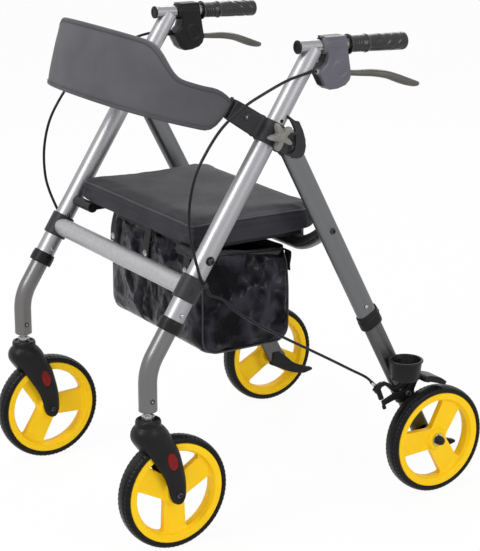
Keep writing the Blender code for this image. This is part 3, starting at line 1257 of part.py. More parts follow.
def cable(name, knots, side, finishes):
    """A cable as a round curve along its whole route."""
    points = smooth_path([Vector(knot) for knot in knots], CABLE_RADIUS * 2 * CABLE_PITCH)
    curve = bpy.data.curves.new(name, "CURVE")
    curve.dimensions = "3D"
    curve.bevel_depth = CABLE_RADIUS
    curve.bevel_resolution = 1
    curve.use_fill_caps = True
    spline = curve.splines.new("POLY")
    spline.points.add(len(points) - 1)
    for target, point in zip(spline.points, points):
        target.co = (point.x * side, point.y, point.z, 1.0)
    curve.materials.append(finishes["cable"])
    item = bpy.data.objects.new(name, curve)
    bpy.context.scene.collection.objects.link(item)
    return item


def upper_cable_route():
    """From the brake housing, in a free loop ahead of the front tube, to the clip on the tee."""
    start = adjuster_place() + adjuster_along() * (ADJUSTER_LENGTH + FIT)
    clip, along = clip_place(), clip_along()
    end = clip - along * FIT
    straight = 2 * CABLE_RADIUS
    bow = [(0.0215, -0.016, 0.7905), (0.0225, -0.052, 0.7830), (0.0230, -0.100, 0.7645),
           (0.0235, -0.135, 0.7480), (0.0240, -0.177, 0.7180), (0.0245, -0.210, 0.6770),
           (0.0250, -0.230, 0.6390), (0.0260, -0.240, 0.5930), (0.0270, -0.2395, 0.5480),
           (0.0275, -0.232, 0.5140)]
    return ([start, start + adjuster_along() * straight]
            + [(FRAME_HALF + out, y, z) for out, y, z in bow]
            + [end - along * 0.018, end - along * straight, end])


def lower_cable_route():
    """From the clip, past the bag's side, down to the hook on the rear leg."""
    clip, along = clip_place(), clip_along()
    pivot = rocker_pivot()
    hook_x = REAR_LEG_HALF + BRAKE_SLEEVE_HALF - 0.0045
    into = Vector((0, 0.7071, -0.7071))
    seat = Vector((hook_x, pivot.y - 0.065, pivot.z + 0.021)) - into * 2 * FIT
    straight = 2 * CABLE_RADIUS
    start = clip + along * FIT
    bow = [(0.0245, -0.1770, 0.4310), (0.0240, -0.1485, 0.4040), (0.0230, -0.1025, 0.3715),
           (0.0225, -0.0480, 0.3385), (0.0220, 0.0020, 0.3090), (0.0210, 0.0440, 0.2840),
           (0.0190, 0.0900, 0.2560)]
    return ([start, start + along * straight, start + along * 0.020]
            + [(FRAME_HALF + out, y, z) for out, y, z in bow]
            + [seat - into * 0.030, seat - into * straight, seat])


# Assembly
def build_side(side, label, finishes):
    front_tube(side, label, finishes)
    front_leg(side, label, finishes)
    front_collar(side, label, finishes)
    tee_connector(side, label, finishes)
    top_bracket(side, label, finishes)
    button("front_leg_button_" + label, front_point(FRONT_BUTTON_S), FRONT_TUBE_RADIUS, side, finishes)
    star_knob(side, label, finishes)
    slide = joint_axis("handle_slide_" + label, front_point(FRONT_TUBE_END), side)
    attach(slide, handle_tube(side, label, finishes), handle_end_cap(side, label, finishes),
           hand_grip(side, label, finishes), brake_housing(side, label, finishes),
           brake_lever(side, label, finishes))
    swivel = joint_axis("caster_swivel_" + label, Vector((FRAME_HALF, STEM_Y, FORK_TOP_Z)), side)
    hub = Vector((FRAME_HALF, FRONT_WHEEL_Y, WHEEL_RADIUS))
    phase = math.radians(30 if side > 0 else 0)
    attach(swivel, caster_stem(side, label, finishes), caster_fork(side, label, finishes),
           rim("front_rim_" + label, hub, AXLE_RADIUS + RUNNING, phase, side, finishes),
           tyre("front_tyre_" + label, hub, side, finishes))
    cable("brake_cable_upper_" + label, upper_cable_route(), side, finishes)
    cable("brake_cable_lower_" + label, lower_cable_route(), side, finishes)


def build_rear_side(side, label, finishes, fold):
    hub = Vector((REAR_WHEEL_HALF, REAR_AXLE_Y, WHEEL_RADIUS))
    phase = math.radians(60 if side > 0 else 90)
    attach(fold, rear_tube(side, label, finishes), rear_leg(side, label, finishes),
           rear_collar(side, label, finishes),
           button("rear_leg_button_" + label, rear_point(REAR_BUTTON_S), REAR_TUBE_THICKNESS / 2, side,
                  finishes),
           brake_bracket(side, label, finishes), brake_arm(side, label, finishes),
           rim("rear_rim_" + label, hub, STUB_RADIUS + RUNNING, phase, side, finishes),
           tyre("rear_tyre_" + label, hub, side, finishes))


def main():
    clear_scene()
    finishes = make_finishes()
    for side, label in SIDES:
        build_side(side, label, finishes)
    front_crossbar(finishes)
    backrest_band(finishes)
    fold = joint_axis("rear_fold", Vector((0, REAR_PIVOT.y, REAR_PIVOT.z)))
    for side, label in SIDES:
        build_rear_side(side, label, finishes, fold)
    attach(fold, *rear_crossbar(finishes), cane_cup(finishes))
    hinge = front_point(SEAT_HINGE_S)
    hinge.x = 0.0
    seat_cushion(finishes, hinge)
    seat_frame(finishes, hinge)
    bag(finishes)


main()
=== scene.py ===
import math
import bmesh
import bpy
import numpy as np
from mathutils import Matrix, Vector, noise
from mathutils.bvhtree import BVHTree


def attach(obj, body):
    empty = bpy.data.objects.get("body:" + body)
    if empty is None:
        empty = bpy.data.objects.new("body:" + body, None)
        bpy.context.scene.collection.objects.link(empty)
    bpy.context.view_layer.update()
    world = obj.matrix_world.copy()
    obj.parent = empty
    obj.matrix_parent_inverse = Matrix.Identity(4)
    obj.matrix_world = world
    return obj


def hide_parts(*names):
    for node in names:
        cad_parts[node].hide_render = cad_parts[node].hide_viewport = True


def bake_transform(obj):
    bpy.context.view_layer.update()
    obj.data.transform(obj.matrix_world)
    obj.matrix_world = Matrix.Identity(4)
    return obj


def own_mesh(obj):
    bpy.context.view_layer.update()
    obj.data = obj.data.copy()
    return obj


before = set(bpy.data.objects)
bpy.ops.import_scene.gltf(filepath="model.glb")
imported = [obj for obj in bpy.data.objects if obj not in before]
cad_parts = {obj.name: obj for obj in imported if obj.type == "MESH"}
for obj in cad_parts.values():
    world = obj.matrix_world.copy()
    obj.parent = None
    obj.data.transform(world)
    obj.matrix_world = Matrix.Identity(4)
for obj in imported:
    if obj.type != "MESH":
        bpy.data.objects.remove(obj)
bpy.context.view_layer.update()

print("frame loaded")


def vec(x, y, z):
    return Vector((x, y, z))


def mm(*rows):
    # Rows of sizes in millimetres, turned into metres
    return [tuple(value / 1000 for value in row) for row in rows]


# Directions and places that many pieces share, all in metres.
# +X is the user's left, the walk is towards -Y, and each side piece is made on the left.
across, alongTravel, up = vec(1, 0, 0), vec(0, 1, 0), vec(0, 0, 1)
sides = ((1, "left"), (-1, "right"))
faces = ((1, "Outer"), (-1, "Inner"))
frameHalf, legHalf, wheelHalf, wheelRadius = 0.241, 0.246, 0.281, 0.1
frontWheelY, stemY, rearAxleY, bendZ, barZ = -0.262, -0.307, 0.262, 0.325, 0.8315
frontRake, barPitch = math.radians(32.64), math.radians(1.75)
teeS, knobS, seatHingeS, tubeStart, tubeEnd = 0.1493, 0.4382, 0.2048, 0.078, 0.456
frontUp = vec(0, math.sin(frontRake), math.cos(frontRake))
frontAhead = vec(0, -math.cos(frontRake), math.sin(frontRake))
frontBend = vec(frameHalf, stemY, bendZ)
rearAxle, rearPivot = vec(legHalf, rearAxleY, wheelRadius), vec(legHalf, -0.035725, 0.668063)
rearUp = (rearPivot - rearAxle).normalized()
rearBehind = vec(0, rearUp.z, -rearUp.y)
barAlong = vec(0, math.cos(barPitch), -math.sin(barPitch))
rockerPivot = rearAxle + rearUp * 0.1016
leverPivot = vec(frameHalf, 0.0595, 0.783982)


def frontPoint(along, ahead=0.0, out=0.0):
    return frontBend + frontUp * along + frontAhead * ahead + across * out


def rearPoint(along, behind=0.0, out=0.0):
    return rearAxle + rearUp * along + rearBehind * behind + across * out


def barPoint(y, above=0.0, out=0.0):
    return vec(frameHalf + out, y, barZ - math.tan(barPitch) * y + above)


def around(place, offsets):
    # A (y, z) outline placed round a point
    return [(place.y + dy, place.z + dz) for dy, dz in offsets]


def smoothStep(value, low=0.0, high=1.0):
    share = min(max((value - low) / (high - low), 0.0), 1.0)
    return share * share * (3 - 2 * share)


def mix(a, b, share):
    return a + (b - a) * share


# Sections, and shapes as lists of points and faces
def arcPoints(centre, radius, start, end, count):
    turns = [start + (end - start) * i / count for i in range(count + 1)]
    return [(centre[0] + radius * math.cos(turn), centre[1] + radius * math.sin(turn)) for turn in turns]


def circle(radius, count=40):
    return arcPoints((0, 0), radius, 0, 2 * math.pi, count)[:-1]


def oval(halfA, halfB, power=4.0, count=40):
    points = []
    for i in range(count):
        angle = 2 * math.pi * (i + 0.5) / count
        a, b = math.cos(angle), math.sin(angle)
        points.append((halfA * math.copysign(abs(a) ** (2 / power), a),
                       halfB * math.copysign(abs(b) ** (2 / power), b)))
    return points


def flatOval(thickness, width, arc=22):
    radius = min(thickness, width) / 2
    reach = max(width / 2 - radius, 0.0)
    return (arcPoints((0, reach), radius, 0, math.pi, arc)
            + arcPoints((0, -reach), radius, math.pi, 2 * math.pi, arc))


def throughPoints(knots, perSpan=8):
    # A smooth line through the knots, each a vector or a tuple of any length
    rows = [np.array(knot, float) for knot in knots]
    line = []
    for i in range(len(rows) - 1):
        before, start = rows[max(i - 1, 0)], rows[i]
        end, after = rows[i + 1], rows[min(i + 2, len(rows) - 1)]
        for k in range(perSpan):
            t = k / perSpan
            line.append(0.5 * (2 * start + (end - before) * t
                               + (2 * before - 5 * start + 4 * end - after) * t ** 2
                               + (3 * start - before - 3 * end + after) * t ** 3))
    return line + [rows[-1]]


def loft(rings, closed=False):
    count = len(rings[0])
    points = [Vector(point) for ring in rings for point in ring]
    quads = []
    for i in range(len(rings) if closed else len(rings) - 1):
        a, b = i * count, ((i + 1) % len(rings)) * count
        for j in range(count):
            k = (j + 1) % count
            quads.append((a + j, a + k, b + k, b + j))
    if not closed:
        quads.append(tuple(range(count))[::-1])
        quads.append(tuple(range((len(rings) - 1) * count, len(rings) * count)))
    return points, quads


def sweep(path, sections, side=across, closed=False):
    # One section for the whole path, or a list of one for each point
    rings = []
    path = [Vector(point) for point in path]
    for i, point in enumerate(path):
        ahead = (path[min(i + 1, len(path) - 1)] - path[max(i - 1, 0)]).normalized()
        a = (side - ahead * side.dot(ahead)).normalized()
        b = ahead.cross(a)
        section = sections[i] if isinstance(sections[0], list) else sections
        rings.append([point + a * u + b * v for u, v in section])
    return loft(rings, closed)


def lathe(profile, centre, axis, steps=48, closed=False):
    # Points are (radius, height); a closed profile makes a ring with a bore
    a = up if abs(axis.x) > 0.8 else across
    a = (a - axis * a.dot(axis)).normalized()
    b = axis.cross(a)
    return loft([[centre + axis * height + (a * u + b * v) * radius for u, v in circle(1.0, steps)]
                 for radius, height in profile], closed)


def rod(place, axis, low, high, radius, steps=40, chamfer=0.0):
    profile = [(radius, low), (radius, high)]
    if chamfer:
        profile = [(radius - chamfer, low), (radius, low + chamfer), (radius, high - chamfer),
                   (radius - chamfer, high)]
    return lathe(profile, place, axis, steps)


def plate(outline, lowX, highX):
    # A (y, z) outline extruded across the frame
    return loft([[(x, y, z) for y, z in outline] for x in (lowX, highX)])


def boxShape(low, high):
    return plate([(low[1], low[2]), (high[1], low[2]), (high[1], high[2]), (low[1], high[2])],
                 low[0], high[0])


def ribbon(path, halves):
    left, right = [], []
    for i, point in enumerate(path):
        along = (Vector(path[min(i + 1, len(path) - 1)]) - Vector(path[max(i - 1, 0)])).normalized()
        normal = Vector((-along.y, along.x))
        left.append(tuple(Vector(point) + normal * halves[i]))
        right.append(tuple(Vector(point) - normal * halves[i]))
    return left + right[::-1]


def together(*shapes):
    points, quads = [], []
    for shapePoints, shapeQuads in shapes:
        quads += [tuple(index + len(points) for index in quad) for quad in shapeQuads]
        points += shapePoints
    return points, quads


def meshOf(name, shape, side=1):
    mesh = bpy.data.meshes.new(name)
    mesh.from_pydata([(p.x * side, p.y, p.z) for p in shape[0]], [], shape[1])
    work = bmesh.new()
    work.from_mesh(mesh)
    bmesh.ops.recalc_face_normals(work, faces=work.faces)
    work.to_mesh(mesh)
    work.free()
    return mesh


def linked(name, data):
    item = bpy.data.objects.new(name, data)
    bpy.context.scene.collection.objects.link(item)
    return item


def evaluated(*items):
    # The first object's finished mesh; then all of them go
    bpy.context.view_layer.update()
    graph = bpy.context.evaluated_depsgraph_get()
    mesh = bpy.data.meshes.new_from_object(items[0].evaluated_get(graph), depsgraph=graph)
    for item in items:
        bpy.data.objects.remove(item, do_unlink=True)
    return mesh


def worked(shape, cuts=(), fuse=0.0, smooth=0, bevel=0.0):
    # Bevels a shape, or fuses and smooths it, and then cuts other shapes out of it
    item = linked("work", meshOf("work", shape))
    items = [item]
    if bevel:
        step = item.modifiers.new("bevel", "BEVEL")
        step.width, step.segments, step.miter_outer = bevel, 3, "MITER_ARC"
        step.limit_method, step.angle_limit = "ANGLE", math.radians(35)
    if fuse:
        step = item.modifiers.new("fuse", "REMESH")
        step.mode, step.voxel_size = "VOXEL", fuse
    if smooth:
        step = item.modifiers.new("smooth", "SMOOTH")
        step.factor, step.iterations = 0.5, smooth
    for cut in cuts:
        items.append(linked("tool", meshOf("tool", cut)))
        step = item.modifiers.new("cut", "BOOLEAN")
        step.operation, step.object, step.solver = "DIFFERENCE", items[-1], "EXACT"
    return evaluated(*items)


def addPiece(name, made, finish, body, *stands, sharp=32.0, slotName=""):
    # One finished piece: its mesh, finish, the body that it rides on and the nodes that it stands for
    mesh = made if isinstance(made, bpy.types.Mesh) else meshOf(name, made)
    mesh.shade_smooth()
    mesh.set_sharp_from_angle(angle=math.radians(sharp))
    mesh.materials.clear()
    mesh.materials.append(finishes[finish])
    item = linked(name, mesh)
    slotName = slotName or slots[finish]
    if body:
        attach(item, body)
    if stands:
        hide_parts(*stands)
    return item


def addPair(name, made, finish, body, *stands, **more):
    # The left piece and its mirror image; {} in a body's or node's name is the side
    mesh = made if isinstance(made, bpy.types.Mesh) else meshOf(name, made)
    pieces = []
    for side, label in sides:
        own = mesh
        if side < 0:
            own = mesh.copy()
            own.transform(Matrix.Scale(-1, 4, across))
            own.flip_normals()
        nodes = [node.format(label) for node in stands]
        pieces.append(addPiece(name + "_" + label, own, finish, body and body.format(label), *nodes, **more))
    return pieces


def addWorked(name, shape, cuts, finish, body, *stands, sharp=32.0, slotName="", **steps):
    addPair(name, worked(shape, cuts, **steps), finish, body, *stands, sharp=sharp, slotName=slotName)


# Camera
cameraLook = {"place": (2.6356, -1.6141, 1.2913), "forward": vec(-0.8149, 0.5057, -0.2835),
              "right": vec(0.5273, 0.8497, 0), "lens": 114.86, "sensor": 36.0, "clip": 30}


def addCamera():
    look, data = cameraLook, bpy.data.cameras.new("photoView")
    data.sensor_fit, data.sensor_height = "VERTICAL", look["sensor"]
    data.lens, data.clip_end = look["lens"], look["clip"]
    forward, right = look["forward"].normalized(), look["right"].normalized()
    item = linked("photoView", data)
    item.matrix_world = Matrix.Translation(look["place"]) @ Matrix(
        (right, right.cross(forward), -forward)).transposed().to_4x4()
    bpy.context.scene.camera = item


addCamera()
print("camera set")


# Shader node groups, each an effect that several finishes share
def fill(tree, made, inputs):
    # Links each socket that is given, and sets each value
    for key, value in inputs.items():
        if isinstance(value, bpy.types.NodeSocket):
            tree.links.new(value, made.inputs[key])
        else:
            made.inputs[key].default_value = value


def setUp(tree, kind, inputs=None, output=0, **settings):
    made = tree.nodes.new("ShaderNode" + kind)
    for key, value in settings.items():
        setattr(made, key, value)
    fill(tree, made, inputs or {})
    return made.outputs if output is None else made.outputs[output]


def reckon(tree, operation, *values):
    return setUp(tree, "Math", dict(enumerate(values)), operation=operation)


def times(tree, a, b):
    return reckon(tree, "MULTIPLY", a, b)


def plus(tree, a, b):
    return reckon(tree, "ADD", a, b)


def spread(tree, value, fromLow, fromHigh, toLow=0.0, toHigh=1.0):
    return setUp(tree, "MapRange", {"Value": value, "From Min": fromLow, "From Max": fromHigh,
                                    "To Min": toLow, "To Max": toHigh}, clamp=True)


def cloudy(tree, place, scale, detail, output="Fac"):
    return setUp(tree, "TexNoise", {"Vector": place, "Scale": scale, "Detail": detail}, output)


def newGroup(build, outputs, **values):
    # build takes the object's coordinates and the group's inputs, and gives back its outputs
    group = bpy.data.node_groups.new(build.__name__, "ShaderNodeTree")
    for label, value in values.items():
        kind = "NodeSocketVector" if label == "Along" else "NodeSocketFloat"
        group.interface.new_socket(name=label, in_out="INPUT", socket_type=kind).default_value = value
    for label in outputs:
        group.interface.new_socket(name=label, in_out="OUTPUT", socket_type="NodeSocketFloat")
    given, out = group.nodes.new("NodeGroupInput"), group.nodes.new("NodeGroupOutput")
    made = build(group, setUp(group, "TexCoord", output="Object"),
                 *[given.outputs[label] for label in values])
    fill(group, out, dict(zip(outputs, made)))
    return group


def mouldedGrain(tree, place, scale):
    # The fine pebble of a moulded part, and its slow change of gloss
    return cloudy(tree, place, scale, 3.0), spread(tree, cloudy(tree, place, 22.0, 4.0), 0.34, 0.66)


def brushedLines(tree, place, along, scale):
    # Fine lines drawn along a tube, by squeezing the place along it
    reach = setUp(tree, "VectorMath", {0: place, 1: along}, "Value", operation="DOT_PRODUCT")
    drawn = setUp(tree, "VectorMath", {0: along, "Scale": times(tree, reach, 0.985)}, operation="SCALE")
    squeezed = setUp(tree, "VectorMath", {0: place, 1: drawn}, operation="SUBTRACT")
    return cloudy(tree, squeezed, scale, 2.0), spread(tree, cloudy(tree, squeezed, 60.0, 3.0), 0.36, 0.64)


def wovenThreads(tree, place, scale):
    # Crossing threads from three sine waves, which look woven from every side
    scaled = setUp(tree, "VectorMath", {0: place, "Scale": scale}, operation="SCALE")
    x, y, z = [reckon(tree, "SINE", part) for part in setUp(tree, "SeparateXYZ", {0: scaled}, None)]
    total = plus(tree, times(tree, x, y), plus(tree, times(tree, y, z), times(tree, z, x)))
    return spread(tree, total, -1.0, 1.6), spread(tree, cloudy(tree, place, 14.0, 5.0), 0.32, 0.68)


def crumpledNylon(tree, place, scale):
    # Thin nylon that is creased into slack facets of two sizes; Shade paints some facets lighter, a painted
    # sheen
    bent = cloudy(tree, place, 16.0, 2.0, "Color")
    pushed = setUp(tree, "VectorMath", {0: bent, 1: (0.06, 0.06, 0.06), 2: place}, operation="MULTIPLY_ADD")
    large, small = [setUp(tree, "TexVoronoi", {"Vector": pushed, "Scale": size}, "Distance", feature="F1")
                    for size in (scale, times(tree, scale, 2.3))]
    fine = plus(tree, times(tree, small, 0.36), times(tree, cloudy(tree, place, 1800.0, 1.0), 0.006))
    # Painted sheen: the facets that this mask picks get the lighter colour
    paintedSheen = plus(tree, times(tree, large, 0.9), times(tree, small, 0.5))
    return plus(tree, large, fine), spread(tree, paintedSheen, 0.62, 1.02)


def wornEdges(tree, place, amount):
    # A mask of the outward edges, broken up as wear is
    edge = spread(tree, setUp(tree, "NewGeometry", output="Pointiness"), 0.52, 0.60)
    broken = spread(tree, cloudy(tree, place, 140.0, 4.0), 0.40, 0.62)
    return [times(tree, times(tree, edge, broken), amount)]


def settledDust(tree, place, amount):
    # Dust lies on what faces up
    facing = setUp(tree, "SeparateXYZ", {0: setUp(tree, "NewGeometry", output="Normal")}, "Z")
    patches = spread(tree, cloudy(tree, place, 35.0, 6.0), 0.30, 0.70)
    return [times(tree, times(tree, spread(tree, facing, 0.2, 0.95), patches), amount)]


surface = ("Height", "Shade")
effects = {"grain": newGroup(mouldedGrain, surface, Scale=900.0),
           "brushed": newGroup(brushedLines, surface, Along=(0, 0, 1), Scale=900.0),
           "woven": newGroup(wovenThreads, surface, Scale=5000.0),
           "crumpled": newGroup(crumpledNylon, surface, Scale=24.0),
           "wear": newGroup(wornEdges, ("Mask",), Amount=0.3),
           "dust": newGroup(settledDust, ("Mask",), Amount=0.1)}
finishes, slots = {}, {}


def shown(red, green, blue):
    # A colour as it is seen on a screen, from 0 to 255, turned into light
    levels = [value / 255 for value in (red, green, blue)]
    return tuple(v / 12.92 if v <= 0.04045 else ((v + 0.055) / 1.055) ** 2.4 for v in levels) + (1.0,)


def addFinish(name, slotName, color, shade, rough, pattern, scale, bump, depth=0.0002, **more):
    # Two colours as seen on a screen, the roughness of each, and the pattern that mixes them
    color, shade = shown(*color), shown(*shade)
    material = bpy.data.materials.new(name)
    material.use_nodes = True
    tree = material.node_tree
    given = {"Scale": scale}
    if "along" in more:
        given["Along"] = more["along"]
    made = setUp(tree, "Group", given, None, node_tree=effects[pattern])
    blend = setUp(tree, "Mix", {"Factor": made["Shade"], 6: color, 7: shade}, 2, data_type="RGBA")
    worn = shown(*more["worn"]) if "worn" in more else shade
    for key, tone in (("wear", worn), ("dust", shown(150, 146, 140))):
        mask = setUp(tree, "Group", {"Amount": more.get(key, 0.0)}, node_tree=effects[key])
        blend = setUp(tree, "Mix", {"Factor": mask, 6: blend, 7: tone}, 2, data_type="RGBA")
    sockets = {"Base Color": blend, "Metallic": more.get("metallic", 0.0),
               "Roughness": plus(tree, spread(tree, made["Shade"], 0.0, 1.0, *rough), times(tree, mask, 0.5)),
               "Normal": setUp(tree, "Bump", {"Strength": bump, "Distance": depth, "Height": made["Height"]})}
    if "specular" in more:
        sockets["Specular IOR Level"] = more["specular"]
    if "gloss" in more:
        sockets["Specular IOR Level"] = spread(tree, made["Shade"], 0.0, 1.0, *more["gloss"])
    if "sheen" in more:
        sockets["Sheen Weight"] = more["sheen"]
    fill(tree, tree.nodes["Principled BSDF"], sockets)
    material.diffuse_color = color
    finishes[name], slots[name] = material, slotName


brushed = {"metallic": 1.0, "along": frontUp, "wear": 0.05}
coated = {"metallic": 0.9, "along": rearUp, "wear": 0.15, "dust": 0.02}
addFinish("silver", "satin_silver", (160, 160, 163), (153, 153, 156), (0.42, 0.46), "brushed", 900, 0.03,
          worn=(190, 190, 192), **brushed)
# A darker copy of the silver for the inner legs: painted shade
addFinish("legSilverShaded", "satin_silver", (116, 115, 115), (114, 113, 113), (0.34, 0.38), "brushed", 900, 0.03,
          worn=(160, 160, 162), **brushed)
addFinish("barSilver", "satin_silver", (160, 160, 163), (152, 152, 155), (0.26, 0.30), "brushed", 900, 0.03,
          worn=(190, 190, 192), **{**brushed, "along": barAlong})
# A darker copy of the grey coat for the rear legs: painted shade
addFinish("legCoatShaded", "grey_tube", (90, 90, 91), (82, 82, 83), (0.36, 0.40), "brushed", 800, 0.03,
          worn=(130, 130, 132), **coated)
addFinish("greyCoat", "grey_tube", (112, 113, 115), (104, 105, 107), (0.34, 0.38), "brushed", 800, 0.03,
          worn=(150, 150, 152), **coated)
addFinish("paleCoat", "pale_tube", (178, 178, 180), (166, 166, 168), (0.40, 0.50), "brushed", 800, 0.08,
          metallic=0.7, along=across, wear=0.3, worn=(200, 200, 202), dust=0.03)
addFinish("nylon", "black_nylon", (19, 19, 21), (25, 25, 27), (0.30, 0.42), "grain", 1500, 0.25,
          specular=0.16, wear=0.35, worn=(64, 64, 66), dust=0.03)
addFinish("teeNylon", "black_nylon", (38, 38, 41), (46, 46, 50), (0.38, 0.48), "grain", 1500, 0.25,
          specular=0.2, wear=0.4, worn=(84, 84, 87), dust=0.04)
addFinish("knobPlastic", "grey_knob", (120, 119, 114), (110, 109, 104), (0.48, 0.58), "grain", 1300, 0.22,
          wear=0.4, worn=(176, 175, 169), dust=0.05)
addFinish("gripRubber", "grip_rubber", (13, 13, 15), (18, 18, 20), (0.20, 0.30), "grain", 1700, 0.3, 0.0003,
          specular=0.5, wear=0.3, worn=(64, 64, 67), dust=0.04)
addFinish("housingPlastic", "housing_plastic", (91, 90, 99), (98, 97, 107), (0.30, 0.40), "grain", 1500, 0.15,
          specular=0.3, wear=0.3, worn=(120, 119, 128), dust=0.04)
addFinish("leverPaint", "lever_alloy", (88, 86, 79), (74, 72, 66), (0.38, 0.48), "grain", 1200, 0.15,
          metallic=0.3, wear=0.5, worn=(160, 158, 148), dust=0.04)
addFinish("tyreRubber", "tyre_rubber", (11, 11, 12), (17, 17, 18), (0.24, 0.38), "grain", 900, 0.4, 0.0004,
          specular=0.14, wear=0.4, worn=(64, 64, 66), dust=0.05)
addFinish("yellowPlastic", "yellow_rim", (255, 210, 20), (254, 204, 12), (0.34, 0.44), "grain", 1100, 0.10,
          specular=0.18, wear=0.25, worn=(252, 204, 40), dust=0.01)
addFinish("zincSteel", "zinc_steel", (190, 190, 192), (160, 160, 163), (0.20, 0.34), "brushed", 1200, 0.12,
          metallic=1.0, along=across, wear=0.3, worn=(220, 220, 222))
addFinish("blackSteel", "zinc_steel", (26, 26, 28), (36, 36, 38), (0.24, 0.34), "grain", 1500, 0.12,
          specular=0.35, wear=0.5, worn=(110, 110, 112))
addFinish("seatCloth", "seat_fabric", (43, 43, 49), (38, 38, 44), (0.60, 0.74), "woven", 5200, 0.30, 0.0003,
          dust=0.05, sheen=0.04, specular=0.25)
addFinish("pipingCloth", "bag_nylon", (40, 40, 44), (33, 33, 37), (0.36, 0.48), "woven", 6000, 0.35, 0.0003,
          dust=0.05)
addFinish("backCloth", "back_fabric", (80, 80, 84), (73, 73, 77), (0.58, 0.70), "woven", 5200, 0.25, 0.0003,
          dust=0.04, sheen=0.04, specular=0.25)
addFinish("bindingCloth", "back_fabric", (72, 72, 76), (64, 64, 68), (0.52, 0.64), "woven", 4200, 0.4, 0.0004,
          specular=0.3, dust=0.04)
# The bag's lighter second colour is a painted sheen on some facets
addFinish("bagNylon", "bag_nylon", (12, 11, 16), (27, 25, 39), (0.20, 0.32), "crumpled", 14, 1.0, 0.013,
          gloss=(0.06, 0.32), dust=0.01)
addFinish("webbing", "bag_nylon", (22, 22, 24), (30, 30, 33), (0.55, 0.68), "woven", 2600, 0.6, 0.0005,
          dust=0.04)
addFinish("thread", "seat_fabric", (50, 50, 53), (42, 42, 45), (0.55, 0.65), "woven", 9000, 0.3)
addFinish("cableSheath", "cable_sheath", (14, 14, 15), (20, 20, 21), (0.28, 0.38), "grain", 1500, 0.10,
          specular=0.2, dust=0.02)
addFinish("reflectorRed", None, (140, 4, 12), (96, 1, 8), (0.14, 0.24), "woven", 1500, 0.7, 0.0006,
          specular=0.2)
addFinish("foamRubber", "black_nylon", (34, 34, 35), (46, 46, 47), (0.70, 0.85), "grain", 700, 0.7, 0.0006,
          dust=0.06)
print("finishes made")


# Brake cables: free loops between the brake, the clip on the tee and the hook at the rear wheel
cable = {"radius": 0.0025, "upper": 0.4907, "lower": 0.4400, "spacing": 0.006, "facets": 14, "gap": 0.0003}
clipPlace, clipAlong = frontPoint(0.1655, -0.0105, 0.021917), vec(0, 0.50, -0.866).normalized()
adjusterPlace, adjusterAlong = vec(0.2485, 0.0210, 0.789972), vec(0.45, -0.88, 0.10).normalized()
hookSeat, hookAlong = vec(0.2535, 0.149412, 0.211414), vec(0, 0.7071, -0.7071)


def bowed(*rows):
    # Points of a free loop, in millimetres: out from the frame's side plane, then y and z
    return [vec(frameHalf + out, y, z) for out, y, z in mm(*rows)]


def upperRoute():
    start = adjusterPlace + adjusterAlong * (0.011 + cable["gap"])
    end = clipPlace - clipAlong * cable["gap"]
    bow = bowed((21.5, -16, 790.5), (22.5, -52, 783), (23, -100, 764.5), (23.5, -135, 748), (24, -177, 718),
                (24.5, -210, 677), (25, -230, 639), (26, -240, 593), (27, -239.5, 548), (27.5, -232, 514))
    return [start, start + adjusterAlong * 0.005, *bow, end - clipAlong * 0.018, end - clipAlong * 0.005, end]


def lowerRoute():
    start = clipPlace + clipAlong * cable["gap"]
    bow = bowed((24.5, -177, 431), (24, -148.5, 404), (23, -102.5, 371.5), (22.5, -48, 338.5), (22, 2, 309),
                (21, 44, 284), (19, 90, 256))
    return [start, start + clipAlong * 0.005, start + clipAlong * 0.020, *bow,
            hookSeat - hookAlong * 0.030, hookSeat - hookAlong * 0.005, hookSeat]


def evenly(points, spacing):
    # The same line with points at even steps
    rows = [Vector(point) for point in points]
    length = sum((b - a).length for a, b in zip(rows, rows[1:]))
    count = max(int(length / spacing), 2)
    line, travelled, wanted = [rows[0]], 0.0, 1
    for a, b in zip(rows, rows[1:]):
        step = (b - a).length
        while wanted < count and travelled + step >= length * wanted / count:
            line.append(a.lerp(b, (length * wanted / count - travelled) / step))
            wanted += 1
        travelled += step
    return line + [rows[-1]]


def addCables():
    for which, knots, movingBody in (("upper", upperRoute(), "handle_{}"),
                                     ("lower", lowerRoute(), "rear_frame")):
        line = evenly(throughPoints(knots, 24), cable["spacing"])
        shape = sweep(line, circle(cable["radius"], cable["facets"]))
        for side, label in sides:
            node = "brake_cable_%s_%s" % (which, label)
            item = addPiece("cable%s_%s" % (which.capitalize(), label), meshOf(node + "_mesh", shape, side),
                            "cableSheath", None, node)
            path = [(point.x * side, point.y, point.z) for point in line]
            if which == "upper":
                path = path[::-1]
            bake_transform(item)


addCables()
print("cables laid")


# Front frame: outer tubes, bent inner legs, collars, tees and crossbar
frontLook = {"tubeRadius": 0.0175, "wall": 0.0013, "innerRadius": 0.0158, "steps": 56, "bendRadius": 0.090,
             "legTop": 0.160, "legEndZ": 0.253, "buttonS": 0.1035, "buttonRadius": 0.0035, "proud": 0.0025,
             "tubeRoom": 0.0178, "legRoom": 0.0161}


def addTurned(name, place, axis, steps, finish, body, rows, *stands, closed=False, **more):
    # A pair of parts turned from rows of radius and height in millimetres
    addPair(name, lathe(mm(*rows), place, axis, steps, closed), finish, body, *stands, **more)


def buttonShape(place, outwards, proud):
    # A domed spring button with the dark rim that shows where it leaves the tube
    r = frontLook["buttonRadius"]
    dome = [(r * share, proud + rise) for share, rise in ((1, -0.0012), (0.93, -0.0005), (0.72, -0.0001),
                                                          (0.35, 0.0001))]
    return lathe([(r, -0.010), *dome, (0.00005, proud + 0.0001)], place, outwards, 28)


def buttonHole(place, low, room):
    return rod(place, across, low, 0.03, frontLook["buttonRadius"] + room, 28)


